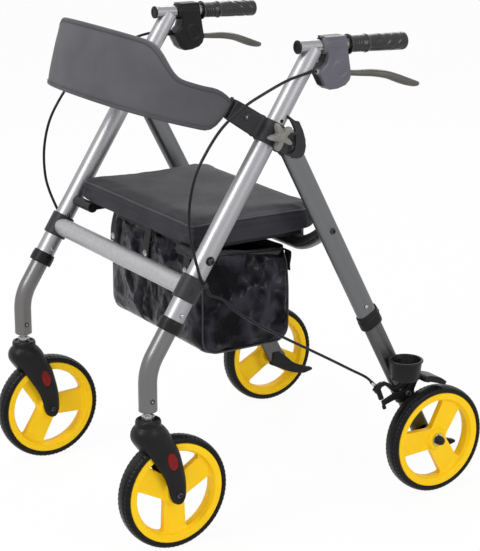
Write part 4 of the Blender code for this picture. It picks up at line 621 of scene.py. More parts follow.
def addFrontTubes():
    look = frontLook
    outer, inner, edge = look["tubeRadius"], look["innerRadius"], 0.0004
    bore, button = outer - look["wall"], frontPoint(look["buttonS"])
    profile = [(bore, tubeStart), (outer - edge, tubeStart), (outer, tubeStart + edge),
               (outer, tubeEnd - edge), (outer - edge, tubeEnd), (bore, tubeEnd)]
    addWorked("frontTube", lathe(profile, frontBend, frontUp, look["steps"], closed=True),
              [buttonHole(button, 0, 0.0004)], "silver", "front_frame", "front_tube_{}")

    tangent = look["bendRadius"] * math.tan(frontRake / 2)
    centre = frontPoint(tangent) - frontAhead * look["bendRadius"]
    path = [frontPoint(look["legTop"]), frontPoint(tangent + 0.05)]
    for i in range(25):
        angle = frontRake * (1 - i / 24)
        path.append(centre + vec(0, -math.cos(angle), math.sin(angle)) * look["bendRadius"])
    foot = vec(frameHalf, stemY, look["legEndZ"])
    path += [foot + up * 0.0007, foot]
    sections = [circle(inner, 56)] * (len(path) - 1) + [circle(inner - 0.0006, 56)]
    cuts = [rod(foot, up, -0.004, 0.030, 0.0075, 32), buttonHole(button, 0.004, 0.0003)]
    addWorked("frontLeg", sweep(path, sections), cuts, "legSilverShaded", "front_frame", "front_leg_{}")
    addTurned("legPlug", foot - up * 0.0001, up, 48, "nylon", "front_frame",
              ((6.3, -1.2), (12.5, -1.2), (13.3, -0.4), (13.3, 0), (7.3, 0), (7.3, 10), (6.3, 10)),
              closed=True)
    # A cross bolt near the foot of each leg holds the caster's stem
    for out, label in faces:
        place = foot + up * 0.0200 + across * out * inner
        addTurned("legBolt" + label, place, across * out, 28, "blackSteel", "front_frame",
                  ((4.4, -1.2), (4.4, 0.6), (3.8, 1.6), (2.4, 2.1), (2.1, 0.9), (0.05, 0.9)))
        addTurned("legBoltCentre" + label, place, across * out, 20, "zincSteel", "front_frame",
                  ((1.9, 0.8), (1.6, 1.3), (0.05, 1.4)))
    proud = outer + look["proud"]
    addPair("frontButton", buttonShape(button, across, proud), "zincSteel", "front_button_{}",
            "front_leg_button_{}")
    addPair("frontButtonInner", buttonShape(button, -across, proud), "zincSteel", "front_frame")


def addFrontCollars():
    # A split clamp ring with a gripping edge, and its small lug behind
    place, outer = frontPoint(tubeStart), 0.0211
    body = lathe(mm((19.5, -7.5), (20.7, -6.8), (21.1, -5.5), (21.1, 8.5), (20.5, 9.1), (20.5, 12.5),
                    (19.9, 13.8), (18.9, 14.5)), place, frontUp, 64)
    lug = sweep([frontPoint(tubeStart + along, 0.0006 - outer) for along in (-0.0045, 0.0085)],
                oval(0.0050, 0.0016, 4.0, 24))
    cuts = [rod(place, frontUp, -0.0003, 0.0245, frontLook["tubeRoom"], 56),
            rod(place, frontUp, -0.0175, 0.0245, frontLook["legRoom"], 56)]
    for angle in range(-60, 61, 12):
        turn = math.radians(angle) + math.pi / 2
        notch = place + (across * math.sin(turn) - frontAhead * math.cos(turn)) * outer
        cuts.append(rod(notch, frontUp, -0.0035, 0.0065, 0.00055, 10))
    addWorked("frontCollar", together(body, lug), cuts, "nylon", "front_frame", "front_collar_{}",
              fuse=0.0007, smooth=4)


teeLook = {"radius": 0.0212, "crossbarRadius": 0.0165, "crossbarWall": 0.0015, "slot": 0.0036}


def addTees():
    middle, bore = frontPoint(teeS), teeLook["crossbarRadius"] - teeLook["crossbarWall"]
    body = lathe(mm((19.8, -21), (20.9, -20.4), (21.2, -19.2), (21.2, 19.2), (20.9, 20.4), (19.8, 21)),
                 middle, frontUp, 64)
    spigot = rod(middle, across, -teeLook["radius"] - 0.020, 0, bore - 0.0003, 48)
    eye = frontPoint(teeS + 0.0246, 0.004, -0.0191)
    tab = rod(eye, across, -0.0016, 0.0016, 0.0048, 32)
    clip = rod(clipPlace, clipAlong, -0.004, 0.004, 0.0050, 32)
    slotPlace = frontPoint(teeS - 0.004, 0.006, teeLook["radius"])

    def slotShape(low, high, long, short):
        return sweep([slotPlace + across * low, slotPlace + across * high],
                     oval(long, short, 2.0, 24), frontUp)

    cuts = [rod(middle, frontUp, -0.031, 0.041, frontLook["tubeRoom"], 56),
            rod(eye, across, -0.01, 0.0031, 0.0022, 24), rod(clipPlace, clipAlong, -0.02, 0.02, 0.0028, 24),
            slotShape(-0.0022, 0.004, 0.0052, 0.0020)]
    addWorked("tee", together(body, spigot, tab, clip), cuts, "teeNylon", "front_frame", "tee_connector_{}",
              fuse=0.0008, smooth=4)
    # The bright rivet ring in the eyelet, and the dark catch in the slot
    addTurned("eyeletRing", eye, across, 40, "zincSteel", "front_frame",
              ((2.3, -2.1), (4, -2.1), (4.4, -1.7), (4.4, 1.7), (4, 2.1), (2.3, 2.1)), closed=True)
    addPair("teeCatch", slotShape(-0.0021, -0.0006, teeLook["slot"], 0.0012), "blackSteel", "front_frame")


def addCrossbar():
    middle, outer = frontPoint(teeS), teeLook["crossbarRadius"]
    bore, reach = outer - teeLook["crossbarWall"], frameHalf - teeLook["radius"] * 0.5
    bar = lathe([(bore, -reach), (outer, -reach), (outer, reach), (bore, reach)], vec(0, middle.y, middle.z),
                across, 64, closed=True)
    cuts = [rod(vec(side * frameHalf, middle.y, middle.z), frontUp, -0.035, 0.035,
                teeLook["radius"] + 0.0002, 64) for side, _ in sides]
    addPiece("crossbar", worked(bar, cuts), "paleCoat", "front_frame", "front_crossbar")


addFrontTubes()
addFrontCollars()
addTees()
addCrossbar()
print("front frame dressed")


# Top bracket, backrest socket and star knob
bracketLook = {"ringRadius": 0.0217, "ringHalf": 0.020, "reach": 0.091, "socketWidth": 0.0085,
               "cheek": 0.0149, "slotReach": 0.0193, "fold": math.radians(32)}


def bracketBolt(place, radius=0.0062, rise=0.0034):
    # A button head with its socket, lying on a face that looks outwards
    shares = ((1, 0), (1, 0.30), (0.86, 0.72), (0.62, 1), (0.42, 1), (0.38, 0.25))
    return lathe([(radius * wide, rise * high) for wide, high in shares] + [(0.00005, rise * 0.25)],
                 place, across, 36)


def addBolt(name, body, *size):
    addPair(name, bracketBolt(*size), "blackSteel", body)


def addBrackets():
    look = bracketLook
    half, r, reach = look["ringHalf"], look["ringRadius"], look["reach"]
    wide, cheek = look["socketWidth"], look["cheek"]
    middle, pivot, faceX = frontPoint(knobS), rearPivot, legHalf + cheek
    ring = lathe([(r - 0.0014, -half), (r, 0.0014 - half), (r, half - 0.0014), (r - 0.0014, half)], middle,
                 frontUp, 64)
    ringEnds = (frontPoint(knobS + half * 0.55, -0.006), frontPoint(knobS - half * 0.85, -0.004))
    outline = around(pivot, mm((-20.3, -8), (-6.3, -13.5), (6.7, -18.5), (16.5, -17.5), (23, -10.5),
                               (25.2, 0), (24, 13), (19, 29), (11.7, 44), (3.7, 46), (-11.4, 57.6),
                               (-0.5, 38.2), (5, 26.2), (-3, 27.5))) + [(end.y, end.z) for end in ringEnds]
    clevis = plate(outline, legHalf - cheek, faceX)
    socket = sweep([frontPoint(knobS, ahead)
                    for ahead in (0.010, 0.050, reach - 0.012, reach - 0.001, reach)],
                   [oval(wide, high, 6.0, 32) for high in (0.0195, 0.0191, 0.0183, 0.0177, 0.0170)])
    rib = sweep([frontPoint(knobS, 0.026), frontPoint(knobS, 0.031)], oval(wide + 0.0010, 0.0202, 6.0, 32))
    rake, slot = math.atan2(rearBehind.z, rearBehind.y), look["slotReach"]
    folded = rake - look["fold"]
    slotLine = arcPoints((0, 0), slot, rake, math.pi + folded, 24)
    for turn, sign in ((folded, -1), (rake, 1)):
        slotLine.append((sign * math.cos(turn) * slot + math.sin(turn) * 0.05,
                         sign * math.sin(turn) * slot - math.cos(turn) * 0.05))
    # Above a fold line the fin's face leans inwards; a recess beside it lies in shadow
    foldCut = loft([[(faceX + dx, pivot.y + dy + leanY, pivot.z + dz + leanZ)
                     for dx, leanY, leanZ in mm((0, 0, 0), (20, 0, 0), (20, -6, 45), (-3.6, -6, 45))]
                    for dy, dz in mm((-10, 30), (40, 10))])
    recess = mm((4, 22.5), (4.2, 8.9), (2, -3), (-4, -8.5), (-13, -7), (-13, 12), (-5, 22.5))
    fin = mm((-4, 32), (-9, 70), (40, 70), (40, 25), (5, 25))
    cuts = [rod(middle, frontUp, -half - 0.02, tubeEnd + 0.0003 - knobS, frontLook["tubeRoom"], 64),
            rod(middle, frontUp, 0, half + 0.02, frontLook["legRoom"], 64),
            plate(around(pivot, slotLine), legHalf - 0.0103, legHalf + 0.0103),
            plate(around(pivot, fin), legHalf - 0.03, legHalf + 0.0095), foldCut,
            plate(around(pivot, recess), faceX - 0.0030, legHalf + 0.03),
            sweep([frontPoint(knobS, reach - 0.0175), frontPoint(knobS, reach + 0.01)],
                  oval(0.0028, 0.0123, 12.0, 24))]
    addWorked("bracket", together(ring, clevis, socket, rib), cuts, "teeNylon", "front_frame",
              "top_bracket_{}", fuse=0.0010, smooth=5)
    addBolt("socketBolt", "front_frame", frontPoint(knobS + 0.002, 0.060, wide - 0.0003))
    addTurned("socketBoltCentre", frontPoint(knobS + 0.002, 0.060, wide + 0.0006), across, 6, "zincSteel",
              "front_frame", ((2.2, 0), (2.2, 0.4), (0.05, 0.5)))
    # A darker plate lies on the recess floor: painted shade
    shade = plate(around(pivot, [(dy * 0.97, dz * 0.97) for dy, dz in recess]),
                  faceX - 0.0034, faceX - 0.0026)
    addPair("bracketRecessShade", shade, "nylon", "front_frame", sharp=20)
    addBolt("pivotBolt", "front_frame", rearPivot + across * (cheek - 0.0028), 0.0042, 0.0014)


knobLook = {"tip": 0.024, "valley": 0.0098, "phase": math.radians(36), "base": 0.0223, "hubLength": 0.0055,
            "points": 140, "middle": 0.021,
            "layers": ((1.2, 0.86), (0.2, 0.93), (0.8, 0.975), (2.4, 1), (8.8, 1), (10.6, 0.975), (12, 0.92),
                       (12.8, 0.84), (13, 0.72), (12.6, 0.55), (12.1, 0.42), (12.1, 0.30), (12.7, 0.27),
                       (12.9, 0.20), (13, 0.10))}


def addKnobs():
    look, centre = knobLook, frontPoint(knobS)
    face = look["base"] + look["hubLength"]
    angles = [2 * math.pi * i / look["points"] for i in range(look["points"])]
    rings = []
    for rise, scale in look["layers"]:
        ring = []
        for angle in angles:
            swell = ((1 + math.cos(5 * (angle - look["phase"]))) / 2) ** 1.5
            # The middle is round, whatever the arms do
            radius = scale * (look["middle"] if scale < 0.5 else mix(look["valley"], look["tip"], swell))
            ring.append(centre + vec(face + rise / 1000, math.cos(angle) * radius, math.sin(angle) * radius))
        rings.append(ring)
    addPair("starKnob", loft(rings), "knobPlastic", "knob_{}", "star_knob_{}", sharp=50)
    hub = rod(centre, across, look["base"], face + 0.0015, 0.0085, 36, 0.0005)
    addPair("knobHub", hub, "blackSteel", "knob_{}", slotName="grey_knob")


addBrackets()
addKnobs()
print("brackets and knobs made")


# Handles: telescoping uprights, welded bars, grips, brake housings and levers
handleLook = {"radius": 0.0158, "bar": 0.011, "bottom": 0.316, "holeSpace": 0.0254, "holeRadius": 0.0033,
              "barStart": -0.015, "barEnd": 0.196, "weldPoints": 96}


def addHandles():
    look = handleLook
    top, r = (barZ - bendZ) / math.cos(frontRake), look["radius"]
    profile = [(r - 0.0012, look["bottom"]), (r, look["bottom"] + 0.0006), (r, top - 0.0085),
               (r - 0.0004, top - 0.0045), (r - 0.0016, top - 0.0030), (r - 0.0040, top - 0.0022)]
    holes = [rod(frontPoint(knobS + k * look["holeSpace"]), across, -0.03, 0.03, look["holeRadius"], 24)
             for k in range(-4, 2)]
    addWorked("handleUpright", lathe(profile, frontBend, frontUp, 56), holes, "silver", "handle_{}",
              "handle_tube_{}")
    start, bar = barPoint(look["barStart"]), look["bar"]
    length = (barPoint(look["barEnd"]) - start).length
    addPair("handleBar", lathe([(bar - 0.0014, 0), (bar - 0.0003, 0), (bar, 0.0004), (bar, length - 0.0006),
                                (bar - 0.0006, length)], start, barAlong, 56), "barSilver", "handle_{}")
    # The weld where the upright meets the bar: a saddle-shaped bead with small ripples
    bead = []
    for u, v in circle(r, look["weldPoints"]):
        onBar = max(-0.0106, min(0.0106, v))
        drop = math.sqrt(max(bar * bar - onBar * onBar, 0)) * 0.98
        foot = barPoint(frontPoint(top, u).y, 0, v)
        bead.append(vec(frameHalf + v * 0.96, foot.y, foot.z - drop / math.cos(barPitch)))
    ripples = [circle(0.0016 + 0.00028 * math.sin(i * math.pi / 2), 12) for i in range(look["weldPoints"])]
    addPair("handleWeld", sweep(bead, ripples, up, closed=True), "barSilver", "handle_{}", sharp=60)
    # A black plug closes the bar's front end
    addTurned("endCap", start - barAlong * 0.0002, barAlong, 48, "nylon", "handle_{}",
              ((10.2, 0), (11.4, -0.4), (11.6, -1.6), (11.3, -2.8), (10.3, -3.3), (7, -3.3), (6.6, -2.6),
               (0.05, -2.6)), "handle_end_cap_{}", slotName="grip_rubber")


gripLook = {"start": 0.082, "bore": 0.0113, "facets": 72, "helixFrom": 0.074, "helixTo": 0.113,
            "low": ((0, 16.2), (0.6, 17.3), (1.6, 17.5), (3, 17.3), (3.8, 16), (4.6, 13.9), (6, 13.5),
                    (8.5, 13.8), (9.6, 13.1), (10.8, 13.9), (13.2, 14), (14.3, 13.2), (15.5, 14),
                    (18.2, 14.1), (19.3, 13.3), (20.5, 14.1), (23.6, 14.1), (24.7, 13.4), (25.9, 14.2),
                    (32, 14.2), (34.5, 14.6), (36.2, 15.8), (37.4, 16), (38.6, 15.6), (40, 14.5), (41.5, 14.3),
                    (50, 14.5), (60, 14.8)),
            "high": ((115, 15.3), (116.6, 15), (118, 14.4), (119, 13.4), (119.6, 11.6), (119.6, 7.5),
                     (119, 7), (119, 3))}


def addGrips():
    look, start = gripLook, barPoint(gripLook["start"])
    upright = barAlong.cross(across).normalized()
    run = [(0.0600 + 0.0009 * k, 0.0148 + 0.0005 * k / 61) for k in range(1, 61)]
    rings = []
    for along, radius in mm(*look["low"]) + run + mm(*look["high"]):
        ring = []
        fade = smoothStep(along, look["helixFrom"] - 0.004, look["helixFrom"])
        fade *= 1 - smoothStep(along, look["helixTo"] - 0.002, look["helixTo"] + 0.001)
        for i in range(look["facets"]):
            angle = 2 * math.pi * i / look["facets"]
            # Slanting grooves near the end, and shallow finger waves below
            turn = (angle / (2 * math.pi) * 3 + along / 0.0215) % 1.0
            groove = 0.0009 * fade * max(0.0, 1 - abs(turn - 0.5) / 0.11) ** 0.6
            wave = 0.0
            if 0.044 < along < 0.112:
                wave = 0.0006 * max(0.0, -math.sin(angle)) * math.cos((along - 0.048) / 0.0165 * 2 * math.pi)
            ring.append(start + barAlong * along + (across * math.cos(angle) + upright * math.sin(angle))
                        * (radius - groove + wave * (1 - fade * 0.6)))
        rings.append(ring)
    addWorked("handGrip", loft(rings), [rod(start, barAlong, -0.01, 0.1146, look["bore"], 48)], "gripRubber",
              "handle_{}", "hand_grip_{}", sharp=40)


housingLook = {"middle": 0.050, "halfWidth": 0.0135, "coverFrom": 0.0060, "barRoom": 0.0113, "inset": 0.16,
               "outline": ((-18.5, 16.5), (22, 16), (27, -13), (30, -31), (33.5, -50), (30, -60), (22, -67.5),
                           (6, -72), (-10, -72.5), (-19, -66), (-31, -44), (-29.5, -38), (-17, -27),
                           (-13.5, -16), (-16.5, 0))}


def barRod(low, high, radius, steps):
    start = barPoint(low)
    return rod(start, barAlong, 0, (barPoint(high) - start).length, radius, steps)


def addHousings():
    look = housingLook
    base, half, inset = barPoint(look["middle"]), look["halfWidth"], look["inset"]
    outline = around(base, mm(*look["outline"]))
    body = plate(outline, frameHalf - half, frameHalf + half)
    # A step in the side faces and a round boss give the cover its relief
    centreY, centreZ = [sum(values) / len(outline) for values in zip(*outline)]
    inner = [(mix(y, centreY, inset), mix(z, centreZ, inset)) for y, z in outline]
    raised = plate(inner, frameHalf - half - 0.0008, frameHalf + half + 0.0008)
    boss = vec(frameHalf, base.y + 0.010, base.z - 0.0395)
    rings = [lathe(mm((12.6, 13.7), (13.2, 15.2), (14.3, 15.4), (15, 15.2), (15.6, 13.7)), boss,
                   across * side, 72,
                   closed=True) for side, _ in sides]
    sleeve = barRod(look["middle"] - 0.0225, look["middle"] + 0.0245, 0.0148, 64)
    barrel = rod(adjusterPlace, adjusterAlong, -0.006, 0.0075, 0.0060, 32)
    slot = arcPoints((0, 0), 0.0084, math.radians(75), math.radians(280), 20) + mm((40, -12.5), (40, 16.5))
    cuts = [plate(around(leverPivot, slot), frameHalf - 0.0061, frameHalf + 0.0061),
            barRod(0.0, 0.1, look["barRoom"], 56),
            rod(adjusterPlace, adjusterAlong, -0.009, 0.03, 0.0047, 32)]
    # The grey cover takes the outer face; the half that holds the lever is black
    whole = together(body, raised, sleeve, barrel, *rings)
    split = frameHalf + look["coverFrom"]
    box = around(base, mm((-80, -100), (80, -100), (80, 50), (-80, 50)))
    for name, finish, low, high, stands in (("brakeCover", "housingPlastic", -0.08, 0, ["brake_housing_{}"]),
                                            ("brakeHousing", "nylon", 0, 0.08, [])):
        addWorked(name, whole, cuts + [plate(box, split + low, split + high)], finish, "handle_{}", *stands,
                  slotName="housing_plastic", fuse=0.0009, smooth=5)
    addTurned("cableAdjuster", adjusterPlace, adjusterAlong, 40, "zincSteel", "handle_{}",
              ((3, -6), (4.4, -6), (4.4, 3), (4, 3.4), (4, 4), (4.5, 4.4), (4.5, 7.4), (4, 7.8), (4, 8.4),
               (4.4, 8.8), (4.4, 10.5), (3.8, 11), (2.9, 11), (2.9, 6)), slotName="housing_plastic")
    addPair("leverPin", rod(leverPivot, across, -0.0141, 0.0141, 0.0030, 28, 0.0006), "zincSteel",
            "handle_{}")


leverLook = {"splay": 0.09, "power": 3.5,
             "stations": ((4, 0, 4.4, 5.5), (28, -3.6, 4.7, 5.5), (50, -5.6, 5.2, 7.2), (74, -7.4, 6, 9.2),
                          (100, -12.3, 6.7, 11.2), (118, -18.5, 7.1, 12.6), (135, -25.2, 7.2, 13.2),
                          (150, -30, 6.2, 12.4), (159.5, -31.8, 4.6, 9.6), (164.5, -32, 2.6, 5.6))}


def addLevers():
    path, sections, rib = [], [], []
    for dy, dz, high, wide in throughPoints(mm(*leverLook["stations"]), 5):
        place = leverPivot + vec(leverLook["splay"] * max(dy - 0.028, 0.0), dy, dz)
        path.append(place)
        sections.append(oval(wide, max(high, 0.0015), leverLook["power"], 40))
        if 0.045 < dy < 0.125:
            rib.append(place - up * (high * 1.02))
    hub = rod(leverPivot, across, -0.0055, 0.0055, 0.0075, 40)
    # A pressed rib along the inner face stiffens the blade
    cuts = [sweep(rib, circle(0.0022, 14)), rod(leverPivot, across, -0.01, 0.01, 0.0032, 24)]
    addWorked("brakeLever", together(sweep(path, sections), hub), cuts, "leverPaint", "lever_{}",
              "brake_lever_{}", fuse=0.0008, smooth=3)


addHandles()
addGrips()
addHousings()
addLevers()
print("handles dressed")


# Casters: stem, fork shell, reflector
casterLook = {"cut": 0.104, "room": 0.0179, "faceX": 0.0249, "seatX": 0.0254, "stemRoom": 0.0063,
              "reflector": (-0.2755, 0.164), "tilt": math.radians(-17),
              "rings": ((-0.0165, 0.0450, 0.0250, 0.0060, 4.0), (-0.0120, 0.0450, 0.0262, 0.0117, 4.0),
                        (0.0000, 0.0450, 0.0262, 0.0165, 4.0), (0.0300, 0.0402, 0.0262, 0.0205, 4.0),
                        (0.0620, 0.0275, 0.0268, 0.0275, 3.4), (0.0820, 0.01765, 0.0275, 0.0318, 3.0),
                        (0.1020, 0.00585, 0.0278, 0.0338, 2.6), (0.1150, 0.0018, 0.0272, 0.0315, 2.3),
                        (0.1240, 0.0000, 0.0245, 0.0265, 2.0), (0.1275, 0.0000, 0.0215, 0.0225, 2.0),
                        (0.1355, 0.0000, 0.0218, 0.0218, 2.0), (0.1370, 0.0000, 0.0205, 0.0205, 2.0))}


def addCasters():
    look, body = casterLook, "caster_{}"
    stem, wheel = vec(frameHalf, stemY, 0), vec(frameHalf, frontWheelY, wheelRadius)
    addTurned("casterStem", stem, up, 48, "zincSteel", body,
              ((5, 198.5), (6, 199.5), (6, 237.3), (9.7, 237.3), (9.7, 238.5), (8.1, 239), (8.1, 247.2),
               (7.5, 247.8), (6, 247.8), (6, 303), (4.8, 304)), "caster_stem_{}")
    addTurned("stemNut", stem, up, 6, "zincSteel", body,
              ((10.3, 239.6), (11, 240.2), (11, 245.5), (10.3, 246.1)), sharp=20)
    rings = [[(stem.x + u, stem.y + back + v, wheelRadius + rise) for u, v in oval(halfX, halfY, power, 64)]
             for rise, back, halfX, halfY, power in throughPoints(look["rings"], 4)]
    room = look["room"]
    # A reflector lies in a shallow oval seat on each face
    place = vec(stem.x, *look["reflector"])
    long = vec(0, math.sin(look["tilt"]), math.cos(look["tilt"]))
    cuts = [rod(wheel, across, -room, room, look["cut"], 96, 0.0015),
            boxShape((stem.x - room, wheel.y - 0.06, 0.05), (stem.x + room, wheel.y + 0.06, wheel.z + 0.02)),
            rod(stem, up, 0.19, 0.26, look["stemRoom"], 40)]
    cuts += [sweep([place + across * out * look["seatX"], place + across * out * 0.040],
                   oval(0.0182, 0.0098, 2.0, 48), long) for out, _ in faces]
    cuts += [rod(wheel, across * out, look["faceX"], 0.03, 0.0078, 40) for out, _ in faces]
    addWorked("casterFork", loft(rings), cuts, "nylon", body, "caster_fork_{}", fuse=0.0010, smooth=5)
    addTurned("forkCapRing", stem, up, 64, "nylon", body,
              ((16.5, 236.2), (19.5, 236.2), (20.6, 237), (20.6, 238), (19.8, 238.6), (16.5, 238.6)),
              closed=True)
    for out, label in faces:
        domes = []
        for rise, scale in ((-0.0006, 0.97), (0.0006, 0.97), (0.0012, 0.93), (0.0015, 0.80), (0.0017, 0.55),
                            (0.0018, 0.25)):
            middle = place + across * out * (look["seatX"] + rise)
            domes.append([middle + long * (u * scale) + long.cross(across) * (v * scale)
                          for u, v in oval(0.0178, 0.0094, 2.0, 64)])
        addPair("reflector" + label, loft(domes), "reflectorRed", body)
    for out, label in faces:
        outwards = across * out
        addTurned("axleHead" + label, wheel + outwards * look["faceX"], outwards, 36, "blackSteel", body,
                  ((5.4, 0), (5.4, 1.9), (4.8, 2.6), (3.1, 2.8), (2.8, 1), (0.05, 1)))
    addPair("frontAxle", rod(wheel, across, -0.0250, 0.0250, 0.0039, 24), "zincSteel", body)


# Wheels: turned rims with three openings, round rubber tyres
wheelLook = {"spokeHalf": 0.0185, "flare": 0.045, "reach": 0.073, "fillet": 0.009, "bevel": 0.0013,
             "inset": 0.10, "knee": 0.0065, "notches": 72, "notchDepth": 0.0010,
             "bores": {"front": 4.3, "rear": 6.3},
             "phases": {"front_left": 30, "front_right": 0, "rear_left": 60, "rear_right": 90},
             "rim": ((12.5, -13.2), (13.5, -13.5), (17.2, -13.5), (18.4, -12.8), (19.6, -10), (21.2, -7.5),
                     (24, -6), (29, -5.5), (66, -5.5), (71.2, -6), (73.8, -7.6), (75, -10.5), (75.8, -13.2),
                     (76.8, -14.2), (78.2, -14.6), (80, -14.2), (81.2, -14.2), (82.6, -14.7), (86.8, -14.8),
                     (88, -14.4), (88.5, -13.2)),
             "tyre": ((88.8, -13), (89.5, -15.2), (91.5, -15.7), (94, -15.7), (95.8, -15.2), (97.2, -14.1),
                      (98.3, -12.5), (99, -10.4), (99.2, -8.8), (98.6, -8.2), (98.6, -7.4), (99.5, -6.9),
                      (99.9, -5), (100, -2.2))}


def openingOutline(angle):
    look, lean = wheelLook, math.radians(60) - wheelLook["flare"]
    half, fillet = look["spokeHalf"], look["fillet"]
    run = math.sqrt(look["reach"] ** 2 - half ** 2) - half / math.tan(lean)
    corner = half / math.sin(lean)
    outerU, outerV = corner + math.cos(lean) * run, math.sin(lean) * run
    centre = corner + fillet / math.sin(lean)
    startU = corner + math.cos(lean) * fillet / math.tan(lean)
    startV = math.sin(lean) * fillet / math.tan(lean)
    start, edge = math.atan2(startV, startU - centre), math.atan2(outerV, outerU) - look["inset"]
    points = arcPoints((centre, 0.0), fillet, start, 2 * math.pi - start, 14)
    # Small radii where the spokes run into the rim
    outer = arcPoints((0.0, 0.0), math.hypot(outerU, outerV), -edge, edge, 30)
    soft = []
    for sign, rim in ((-1, outer[0]), (1, outer[-1])):
        back = (outerU - math.cos(lean) * look["knee"], sign * (outerV - math.sin(lean) * look["knee"]))
        knee = (outerU, sign * outerV)
        soft.append([tuple(mix(mix(a, k, t), mix(k, b, t), t) for a, k, b in zip(back, knee, rim))
                     for t in [i / 6 for i in range(7)]])
    return [(u * math.cos(angle) - v * math.sin(angle), u * math.sin(angle) + v * math.cos(angle))
            for u, v in points + soft[0] + outer[1:-1] + soft[1][::-1]]


def bothSides(rows, *middle):
    # Rows that run inwards from one side, what lies in the middle, and the same rows back out
    return [*rows, *middle, *[(radius, -height) for radius, height in rows[::-1]]]


def addWheel(end, label, centre):
    look, key, node = wheelLook, end + "_" + label, end + "_%s_" + label
    bore = look["bores"][end]
    profile = bothSides([(bore, -12)] + list(look["rim"]), (88.5, 0))
    cuts = []
    for third in range(3):
        outline = openingOutline(math.radians(look["phases"][key] + 60 + 120 * third))
        cuts.append(plate(around(centre, outline), centre.x - 0.02, centre.x + 0.02))
    rim = worked(lathe(mm(*profile), centre, across, 144, closed=True), cuts)
    addPiece("rim_" + key, softEdges(key, rim, centre), "yellowPlastic",
             node % "wheel", node % "rim", sharp=40)
    verts, quads = lathe(mm(*bothSides(look["tyre"])), centre, across, 288, closed=True)
    for place in verts:
        # Shallow notches cross the shoulders of the tread, staggered from side to side
        offset = place - centre
        radius = math.hypot(offset.y, offset.z)
        if radius > 0.0965 and abs(offset.x) > 0.006:
            turn = math.atan2(offset.z, offset.y) * look["notches"] + (math.pi if offset.x > 0 else 0)
            depth = look["notchDepth"] * smoothStep(math.sin(turn), 0.1, 0.6) / radius
            place.y -= offset.y * depth
            place.z -= offset.z * depth
    addPiece("tyre_" + key, (verts, quads), "tyreRubber", node % "wheel", node % "tyre", sharp=38)


def softEdges(key, mesh, centre):
    # Rounds only the cut edges of the openings, leaving the turned profile alone
    work = bmesh.new()
    work.from_mesh(mesh)
    edges = []
    for edge in work.edges:
        if len(edge.link_faces) != 2:
            continue
        a, b = (face.normal for face in edge.link_faces)
        middle = (edge.verts[0].co + edge.verts[1].co) / 2 - centre
        onWeb = abs(abs(middle.x) - 0.0055) < 0.0012 and 0.02 < math.hypot(middle.y, middle.z) < 0.0745
        if onWeb and min(abs(a.x), abs(b.x)) < 0.2 and a.angle(b) > math.radians(50):
            edges.append(edge)
    bmesh.ops.bevel(work, geom=edges, offset=wheelLook["bevel"], segments=3, profile=0.6, affect="EDGES",
                    clamp_overlap=True)
    done = bpy.data.meshes.new(key + "RimSoft")
    work.to_mesh(done)
    work.free()
    return done


addCasters()
for side, label in sides:
    addWheel("front", label, vec(side * frameHalf, frontWheelY, wheelRadius))
    addWheel("rear", label, vec(side * wheelHalf, rearAxleY, wheelRadius))
print("casters and wheels turned")


# Rear legs: flat oval tubes with a clamp, axle stub, tilting pedal
rearLook = {"tubeStart": 0.2617, "tube": (0.020, 0.038), "leg": (0.0174, 0.0354), "legTop": 0.3817,
            "legBore": (0.0180, 0.0360), "pedalX": (0.2330, 0.2440), "buttonS": 0.3005, "endX": 0.2948}


def ovals(size, *trims, arc=22):
    # Flat oval sections of one size, each trimmed by its own amount
    return [flatOval(size[0] - trim, size[1] - trim, arc) for trim in trims]


def rearSweep(places, sections):
    return sweep([rearPoint(along) for along in places], sections)


def roundEnd(name, place, size, finish):
    # The round end of a flat oval tube
    disc = plate(around(place, circle(size[1] / 2, 64)), legHalf - size[0] / 2, legHalf + size[0] / 2)
    addWorked(name, disc, [], finish, "rear_frame", bevel=0.0016)


